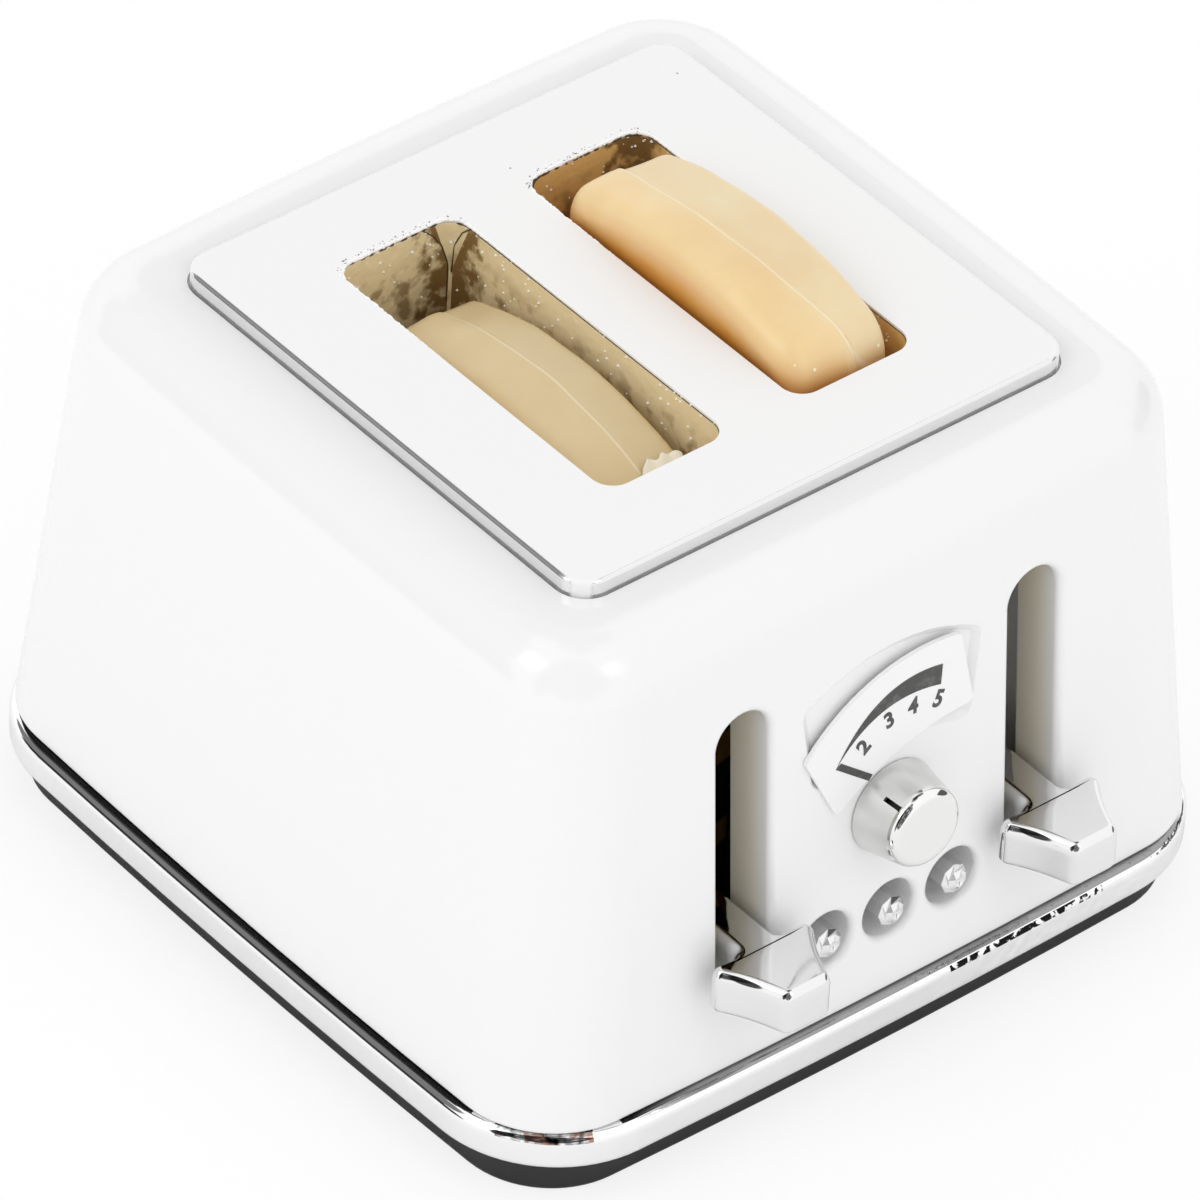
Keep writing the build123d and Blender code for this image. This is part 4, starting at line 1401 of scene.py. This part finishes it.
@dataclass
class Bread:
    """A slice of toy bread on edge: domed top, soft edges and the mould's parting line.

    Attributes:
        side: which slice it is.
        top: how high its crest stands.
        material: the bread's finish.
        wax: the flake's finish.
        slot_name: a name for the slot that its pieces are in; not used.
        crest_rise: how much lower the crest is at its two ends.
        front_round: the radius of the top's front corner.
        back_round: the radius of the top's back corner.
        left_round: the radius of the edge round the left face.
        right_round: the radius of the edge round the right face.
        lean: how far the left face leans out at the top.
        parting: where the parting line runs over the crest: its X at the back, half way and at
            the front, from the slice's middle.
        ridge: how high that line's ridge stands.
        ridge_width: how wide the ridge is to either side.
        step: how far the part beyond the line is sunk.
        step_width: the width over which it sinks.
        fall: how much further it sinks for each millimetre away from the line.
        blend: the width over which the colour changes there.
        wave: how deep the surface's slow waves are.
        wave_length: how long the longest of them is.
        shrink: the sizes of the rings that close a face, as shares of its outline.
        flake: whether it has a torn flake of flash on its crest.
        beyond: how far each point lies beyond the line, from 0 to 1.
    """

    side: Side
    top: float
    material: Material
    wax: Material
    slot_name: str
    crest_rise: float = 1.4
    front_round: float = 1.3
    back_round: float = 0.95
    left_round: float = 0.9
    right_round: float = 0.4
    lean: float = 0.4
    parting: Triple = (0.1, -0.3, 0.55)
    ridge: float = 0.05
    ridge_width: float = 0.07
    step: float = 0.1
    step_width: float = 0.06
    fall: float = 0.05
    blend: float = 0.3
    wave: float = 0.05
    wave_length: float = 7.0
    shrink: tuple[float, ...] = (0.97, 0.8, 0.55, 0.3, 0.1)
    flake: bool = False
    beyond: Array = field(init=False)

    def top_outline(self, count: int) -> Array:
        """The top edge from front to back: a shallow arch whose ends turn down in a round.

        The arch falls with the square of the distance from its middle; within a corner's radius
        of an end, the corner's circle takes off what is left of that radius.

        Args:
            count: how many points to give.

        Returns:
            The points, Y and Z.
        """
        half = (BREAD_BACK - BREAD_FRONT) / 2
        along = -np.cos(np.linspace(0.0, math.pi, count))
        radius = np.where(along < 0, self.front_round, self.back_round)
        into = np.clip(radius - half * (1 - np.abs(along)), 0.0, radius)
        arch = self.top - self.crest_rise * along ** 2
        drop = radius - np.sqrt(np.maximum(radius ** 2 - into ** 2, 0.0))
        return np.stack([BREAD_MIDDLE + half * along, arch - drop], -1)

    def outline(self) -> Array:
        """The whole slice seen from the side, clockwise from the front's top.

        Returns:
            The points, Y and Z.
        """
        top = self.top_outline(BREAD_CREST_POINTS)
        levels = np.linspace(0.0, 1.0, 16)[1:-1, None]
        corners = [top[-1], np.array([BREAD_BACK, TRAY_TOP]), np.array([BREAD_FRONT, TRAY_TOP]),
                   top[0]]
        sides = [start * (1 - levels) + end * levels for start, end in zip(corners, corners[1:])]
        return np.concatenate([top, *sides])

    def build(self) -> None:
        """Makes the slice: the outline is drawn in towards each face along a quarter circle."""
        outline = self.outline()
        low, high = outline.min(0), outline.max(0)
        inwards = (low + high - 2 * outline) / (high - low)
        quarter = np.linspace(0.0, math.pi / 2, 14)
        left, right = self.left_round, self.right_round
        first_x = -BREAD_HALF_THICKNESS + left * (1 - np.cos(quarter))
        last_x = BREAD_HALF_THICKNESS - right * (1 - np.cos(quarter[::-1]))
        middle_x = np.linspace(first_x[-1], last_x[0], 70)[1:-1]
        x = np.concatenate([first_x, middle_x, last_x])
        inset = np.concatenate([left * (1 - np.sin(quarter)), np.zeros(len(middle_x)),
                                right * (1 - np.sin(quarter[::-1]))])
        rows = np.empty((len(x), len(outline), 3))
        rows[..., 0] = x[:, None]
        rows[..., 1:] = outline[None] + inwards[None] * inset[:, None, None]
        self.shape_surface(rows, inwards)
        rows[..., 0] += self.side.value * SLOT_X
        points, faces = self.close_faces(rows)
        slice_piece = make_piece(f"bread_slice_{self.side.word}", points, faces, self.material)
        self.write_crust(slice_piece, points)
        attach(slice_piece, f"toast_{self.side.word}")
        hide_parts(f"bread_{self.side.word}")
        if self.flake:
            self.make_flake(outline)

    def make_flake(self, outline: Array) -> None:
        """Makes the torn flake of flash on the front of the crest: a thin, ragged, curled sheet.

        Sine waves along it make its edges ragged and curl it up off the crest.

        Args:
            outline: the slice's outline, which starts with its crest.
        """
        width, depth, curl, thickness = 1.9, 0.6, 0.14, 0.05
        along = np.linspace(0.0, 1.0, 36)[:, None]
        over = np.linspace(0.0, 1.0, 7)[None]
        wavy = 0.1 * np.sin(along * 9.0) + 0.05 * np.sin(along * 21.0 + 1.0)
        x = self.side.value * SLOT_X + 0.1 + width * along + 0.0 * over
        y = -6.85 + (depth + wavy) * over * np.sin(math.pi * (0.1 + 0.8 * along)) + 0.25 * wavy
        crest = outline[:BREAD_CREST_POINTS]
        z = np.interp(y, crest[:, 0], crest[:, 1]) + 0.03 + curl * np.sin(along * 8.0) ** 2 * over
        sheet = np.stack([x, y, z], -1)
        rows = np.concatenate([sheet, sheet[:, ::-1] - np.array([0.0, 0.0, thickness])], 1)
        points, faces = capped_rows(rows[::-1])
        flake = make_piece(f"bread_flake_{self.side.word}", points, faces, self.wax)
        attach(flake, f"toast_{self.side.word}")

    def shape_surface(self, rows: Array, inwards: Array) -> None:
        """Sinks the part beyond the parting line, raises its ridge, and adds waves and the lean.

        The line's X is a parabola along the slice. The step and the colour's blend follow
        1 / (1 + exp(-distance / width)), the ridge exp(-(distance / width) squared).

        Args:
            rows: the slice's points, moved in place.
            inwards: for each point of the outline, how an inset moves it.
        """
        along = (rows[..., 1] - BREAD_BACK) / (BREAD_FRONT - BREAD_BACK)
        back, middle, front = self.parting
        bend = 4 * (middle - (back + front) / 2) * along * (1 - along)
        place = rows[..., 0] - (back + (front - back) * along + bend)
        self.beyond = 1 / (1 + np.exp(-place / self.blend))
        sunk = (self.step / (1 + np.exp(-place / self.step_width))
                + self.fall * np.maximum(np.abs(place) - 0.3, 0))
        raised = self.ridge * np.exp(-(place / self.ridge_width) ** 2)
        waves = self.wave * smooth_waves(rows, self.wave_length, 1.3 * self.side.value)
        amount = np.clip(sunk - raised + waves + 0.06, 0.0, 1.0)
        rows[..., 1:] += inwards[None] * amount[..., None]
        rows[..., 2] = np.maximum(rows[..., 2], TRAY_TOP)
        rise = np.clip((rows[..., 2] - TRAY_TOP - 1.5) / 9.0, 0.0, 1.0)
        leftness = (BREAD_HALF_THICKNESS - rows[..., 0]) / (2 * BREAD_HALF_THICKNESS)
        rows[..., 0] -= self.lean * rise * leftness

    def close_faces(self, rows: Array) -> tuple[Array, Faces]:
        """Closes both flat faces with rings that shrink towards the middle of the face.

        Args:
            rows: the slice's points from its left face to its right one.

        Returns:
            The points with those rings, from right to left, and the faces.
        """
        shrink = np.array(self.shrink)[:, None, None]
        middles = rows[[0, -1]].mean(1)
        first = middles[0] + (rows[0][None] - middles[0]) * shrink[::-1]
        last = middles[1] + (rows[-1][None] - middles[1]) * shrink
        return capped_rows(np.concatenate([first, rows, last])[::-1])

    def write_crust(self, piece: Piece, points: Array) -> None:
        """Stores two values for each point, which the bread's colour follows.

        "crust" is how far it lies down a side, where the colour deepens partly as painted shade,
        and
        "pale" how far beyond the parting line.

        Args:
            piece: the slice.
            points: its points, in the order that close_faces gave.
        """
        x = points[:, 0] - self.side.value * SLOT_X
        along = (points[:, 1] - BREAD_MIDDLE) / (BREAD_BACK - BREAD_MIDDLE)
        crest = self.top - self.crest_rise * along ** 2
        # Painted shade in part: darker down each side towards the slot's rim.
        down = np.clip((crest - points[:, 2] - 0.45) / 1.7, 0.0, 1.0)
        weight = np.where(x < 0, 1.0, 0.45)
        caps = np.zeros((len(self.shrink), self.beyond.shape[1]))
        beyond = np.concatenate([caps, self.beyond, caps + 1.0])[::-1].ravel()
        pale = beyond * (1.0 - 0.7 * down)
        for name, values in (("crust_and_shade", down * weight), ("pale", pale)):
            layer = piece.data.attributes.new(name, "FLOAT", "POINT")
            layer.data.foreach_set("value", values.astype(np.float32))


@dataclass
class Lever:
    """A chrome lever: the swept paddle outside and its neck, with soft edges all round.

    Attributes:
        side: which lever it is.
        finishes: the materials.
        bottom: the height of its underside.
        top: the height of its upper face.
        corners: the corners of its right half from the neck's end to the nose, X from its own
            middle, each with the radius of its round.
        top_round: how far the round on its upper edge reaches inwards.
        top_drop: how far that round reaches down.
        bottom_round: the radius of its lower edge.
    """

    side: Side
    finishes: Finishes
    bottom: float = 7.4
    top: float = 9.45
    corners: tuple[tuple[Span, float], ...] = (
        ((0.93, -8.95), 0.4), ((0.93, -17.75), 0.3), ((2.85, -17.57), 0.4),
        ((1.75, -19.11), 7.0), ((1.05, -20.85), 0.5))
    top_round: float = 0.38
    top_drop: float = 0.6
    bottom_round: float = 0.35

    def outline(self) -> Array:
        """The lever seen from above, counterclockwise, with its corners rounded.

        Returns:
            The points, X from the lever's middle and Y.
        """
        left = [((-x, y), radius) for (x, y), radius in self.corners]
        places, radii = zip(*left, *reversed(self.corners))
        places = np.array(places)
        ahead = np.roll(places, -1, 0)
        arcs = [round_corner(places[i - 1], places[i], ahead[i], radii[i])
                for i in range(len(places))]
        return resample(np.concatenate(arcs), 320)

    def build(self) -> None:
        """Makes the lever: the outline is drawn in along a quarter circle at top and bottom."""
        outline = self.outline()
        tangent = np.roll(outline, -1, 0) - np.roll(outline, 1, 0)
        tangent /= np.linalg.norm(tangent, axis=1, keepdims=True)
        inwards = np.stack([-tangent[:, 1], tangent[:, 0]], -1)
        quarter = np.linspace(0.0, math.pi / 2, 12)
        heights = np.concatenate([self.bottom + self.bottom_round * (1 - np.cos(quarter)),
                                  self.top - self.top_drop * (1 - np.sin(quarter))])
        insets = np.concatenate([self.bottom_round * (1 - np.sin(quarter)),
                                 self.top_round * (1 - np.cos(quarter))])
        rows = np.empty((len(heights), len(outline), 3))
        rows[..., :2] = outline[None] + inwards[None] * insets[:, None, None]
        rows[..., 0] += self.side.value * SLIT_X
        rows[..., 2] = heights[:, None]
        points, faces = capped_rows(rows)
        paddle = make_piece(f"paddle_{self.side.word}", points, faces, self.finishes.chrome)
        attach(paddle, f"carriage_{self.side.word}")
        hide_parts(f"lever_{self.side.word}")


@dataclass
class Mechanism:
    """The pieces that move and keep their CAD form: trays, screws, knob and clip."""

    finishes: Finishes

    def dress(self) -> None:
        """Gives each of them its finish."""
        for side in Side:
            dress(f"tray_{side.word}", self.finishes.tray)
            dress(f"tray_screw_{side.word}", self.finishes.steel)
        dress("knob", self.finishes.knob)
        dress("knob_clip", self.finishes.clip)


# Studio


@dataclass(frozen=True)
class SkyPatch:
    """An oval part of the surround that bright metal shows in another tone.

    Attributes:
        azimuth: its middle in degrees from +X towards +Y.
        elevation: its middle in degrees above the floor.
        half_width: how far it reaches to either side, in degrees.
        half_height: how far it reaches up and down, in degrees.
        level: the light there, as a share of the rest.
        mottled: whether it is broken up into small light and dark parts.
    """

    azimuth: float
    elevation: float
    half_width: float
    half_height: float
    level: float
    mottled: bool = False


@dataclass(frozen=True)
class SoftLamp:
    """A square soft lamp aimed at the toaster.

    Attributes:
        name: the lamp's name.
        azimuth: its direction in degrees from +X towards +Y.
        elevation: its direction in degrees above the floor.
        distance_m: how far away it stands.
        size_m: its width.
        watts: its power.
    """

    name: str
    azimuth: float
    elevation: float
    distance_m: float
    size_m: float
    watts: float


@dataclass
class Studio:
    """The floor, the surround, two soft lamps and the camera.

    Attributes:
        floor_half_m: half the floor's width.
        shadow_share: how much of the object's shadow the camera sees on the floor.
        surround: the light of the surround on matte surfaces.
        mirror_surround: its light in mirrored ones, before the patches.
        patches: the parts of it that are dimmed there.
        lamps: the soft lamps.
        aim_height: the height over the floor that the lamps are aimed at.
        target: the point that the camera looks at.
        place: where the camera stands.
        roll: how far it is turned round its own axis, in degrees.
        lens_mm: its focal length.
    """

    floor_half_m: float = 0.6
    shadow_share: float = 0.22
    surround: float = 0.9
    mirror_surround: float = 1.12
    patches: tuple[SkyPatch, ...] = (
        SkyPatch(143.0, 4.0, 25.0, 18.0, 0.04),
        SkyPatch(126.0, 34.0, 30.0, 26.0, 0.17),
        SkyPatch(88.0, 54.0, 24.0, 14.0, 0.04),
        SkyPatch(227.0, 38.0, 42.0, 38.0, 0.08, True),
        SkyPatch(194.0, 27.0, 10.0, 30.0, 0.06),
        SkyPatch(345.0, 8.0, 26.0, 15.0, 0.1),
        SkyPatch(55.0, 45.0, 16.0, 14.0, 0.12),
        SkyPatch(0.0, 90.0, 360.0, 13.0, 0.1, True),
        SkyPatch(48.0, 75.0, 60.0, 18.0, 0.1, True),
    )
    lamps: tuple[SoftLamp, ...] = (
        SoftLamp("lamp_left", 172.0, 43.0, 0.6, 0.22, 0.36),
        SoftLamp("lamp_front", 274.0, 46.0, 0.6, 0.2, 0.2),
    )
    aim_height: float = 12.0
    target: Triple = (-0.786, -0.508, 11.416)
    place: Triple = (-259.83, -291.87, 335.62)
    roll: float = 3.483
    lens_mm: float = 396.6

    def build(self) -> None:
        """Makes the floor, the world, the lamps and the camera."""
        self.make_floor()
        self.make_world()
        for lamp in self.lamps:
            self.make_lamp(lamp)
        self.make_camera()

    def make_floor(self) -> None:
        """A plain white floor that keeps a soft part of the object's shadow."""
        half = self.floor_half_m
        mesh = bpy.data.meshes.new("floor")
        corners = [(-half, -half, 0.0), (half, -half, 0.0), (half, half, 0.0), (-half, half, 0.0)]
        mesh.from_pydata(corners, [], [(0, 1, 2, 3)])
        floor = bpy.data.objects.new("floor", mesh)
        bpy.context.scene.collection.objects.link(floor)
        surface = Surface("floor_paper")
        surface.finish(Base_Color="#FFFFFF", Roughness=0.9, Specular_IOR_Level=0.0)
        glow = surface.add("Emission", {"Strength": 1.0})
        seen = surface.add("LightPath").outputs["Is Camera Ray"]
        lifted = surface.add("Math MULTIPLY", (seen, 1.0 - self.shadow_share))
        both = surface.add("MixShader", (lifted, surface.shader, glow))
        out = next(node for node in surface.tree.nodes if node.type == "OUTPUT_MATERIAL")
        surface.feed(out.inputs["Surface"], both)
        mesh.materials.append(surface.material)

    def make_world(self) -> None:
        """White all round; bright metal also sees the dim parts of the room."""
        world = bpy.data.worlds.new("studio")
        bpy.context.scene.world = world
        world.use_nodes = True
        graph = Graph(world.node_tree)
        direction = graph.add("TexCoord").outputs["Generated"]
        height = graph.add("SeparateXYZ", (direction,)).outputs["Z"]
        level = graph.add("Value")
        level.outputs[0].default_value = self.mirror_surround
        for patch in self.patches:
            level = self.darken(graph, direction, height, level, patch)
        mirror = graph.add("Background", ("#FFFFFF", level))
        soft = graph.add("Background", ("#FFFFFF", self.surround))
        seen = graph.add("Background", ("#FFFFFF", 1.0))
        path = graph.add("LightPath")
        first = graph.add("MixShader", (path.outputs["Is Glossy Ray"], soft, mirror))
        last = graph.add("MixShader", (path.outputs["Is Camera Ray"], first, seen))
        graph.add("OutputWorld", {"Surface": last})

    def darken(self, graph: Graph, direction: Socket, height: Socket, level: Node,
               patch: SkyPatch) -> Node:
        """Multiplies the surround's level by one patch's.

        The patch is where the turn from its middle over its half width, and the rise over its
        half height, make a vector shorter than 1.

        Args:
            graph: the world's nodes.
            direction: the direction that is looked in.
            height: its Z.
            level: the level up to here.
            patch: the patch.

        Returns:
            The node that gives the new level.
        """
        turn = math.radians(patch.azimuth)
        cosine, sine = math.cos(turn), math.sin(turn)
        ahead, beside = (graph.add("VectorMath DOT_PRODUCT", (direction, axis)).outputs["Value"]
                         for axis in ((cosine, sine, 0.0), (-sine, cosine, 0.0)))
        away = graph.add("Math ARCTAN2", (beside, ahead))
        width = graph.add("Math DIVIDE", (away, math.radians(patch.half_width)))
        rise = graph.add("Math ARCSINE", (height,))
        over = graph.add("Math SUBTRACT", (rise, math.radians(patch.elevation)))
        reach = graph.add("Math DIVIDE", (over, math.radians(patch.half_height)))
        offset = graph.add("CombineXYZ", (width, reach))
        out = graph.add("VectorMath LENGTH", (offset,)).outputs["Value"]
        lowest = patch.level
        if patch.mottled:
            cloud = graph.add("TexNoise", {"Vector": direction, "Scale": 6.0, "Detail": 3.0})
            lowest = graph.add("MapRange", (cloud, 0.55, 0.66, patch.level, 0.9))
        share = graph.add("MapRange", (out, 0.85, 1.0, lowest, 1.0), **SMOOTH)
        return graph.add("Math MULTIPLY", (level, share))

    def make_lamp(self, lamp: SoftLamp) -> None:
        """Makes one lamp, on a line from the toaster that two angles give.

        Args:
            lamp: its place, size and power.
        """
        light = bpy.data.lights.new(lamp.name, "AREA")
        light.size = lamp.size_m
        light.energy = lamp.watts
        source = bpy.data.objects.new(lamp.name, light)
        turn, rise = math.radians(lamp.azimuth), math.radians(lamp.elevation)
        direction = Vector((math.cos(turn) * math.cos(rise), math.sin(turn) * math.cos(rise),
                            math.sin(rise)))
        source.location = direction * lamp.distance_m + Vector((0.0, 0.0, self.aim_height * MM))
        source.rotation_euler = (-direction).to_track_quat("-Z", "Y").to_euler()
        bpy.context.scene.collection.objects.link(source)

    def make_camera(self) -> None:
        """The camera at the photograph's viewing angle, rolled a little as it was."""
        data = bpy.data.cameras.new("camera")
        data.lens = self.lens_mm
        data.sensor_width = 36.0
        data.clip_start = 0.01
        camera = bpy.data.objects.new("camera", data)
        bpy.context.scene.collection.objects.link(camera)
        camera.location = Vector(self.place) * MM
        aim = Vector(self.target) - Vector(self.place)
        upright = aim.to_track_quat("-Z", "Y").to_matrix()
        rolled = upright @ Matrix.Rotation(math.radians(self.roll), 3, "Z")
        camera.rotation_euler = rolled.to_euler()
        bpy.context.scene.camera = camera


def main() -> None:
    """Dresses the whole toaster, sub-assembly by sub-assembly."""
    logging.basicConfig(level=logging.INFO, format="%(message)s")
    bpy.context.scene.view_settings.view_transform = "Standard"
    Studio().build()
    finishes = Finishes()
    body = Body(finishes)
    body.dress()
    body.build()
    Scale(finishes).build()
    Mechanism(finishes).dress()
    for side in Side:
        Lever(side, finishes).build()
    for name, x in (("left", -BUTTON_PITCH), ("middle", 0.0), ("right", BUTTON_PITCH)):
        PushButton(name, x, finishes).build()
    Bread(Side.LEFT, 24.5, finishes.pale_bread, finishes.wax, "bread_light", ridge=0.02,
          parting=(0.45, 0.4, 0.3), flake=True).build()
    Bread(Side.RIGHT, 27.35, finishes.gold_bread, finishes.wax, "bread_gold").build()


if __name__ == "__main__":
    main()
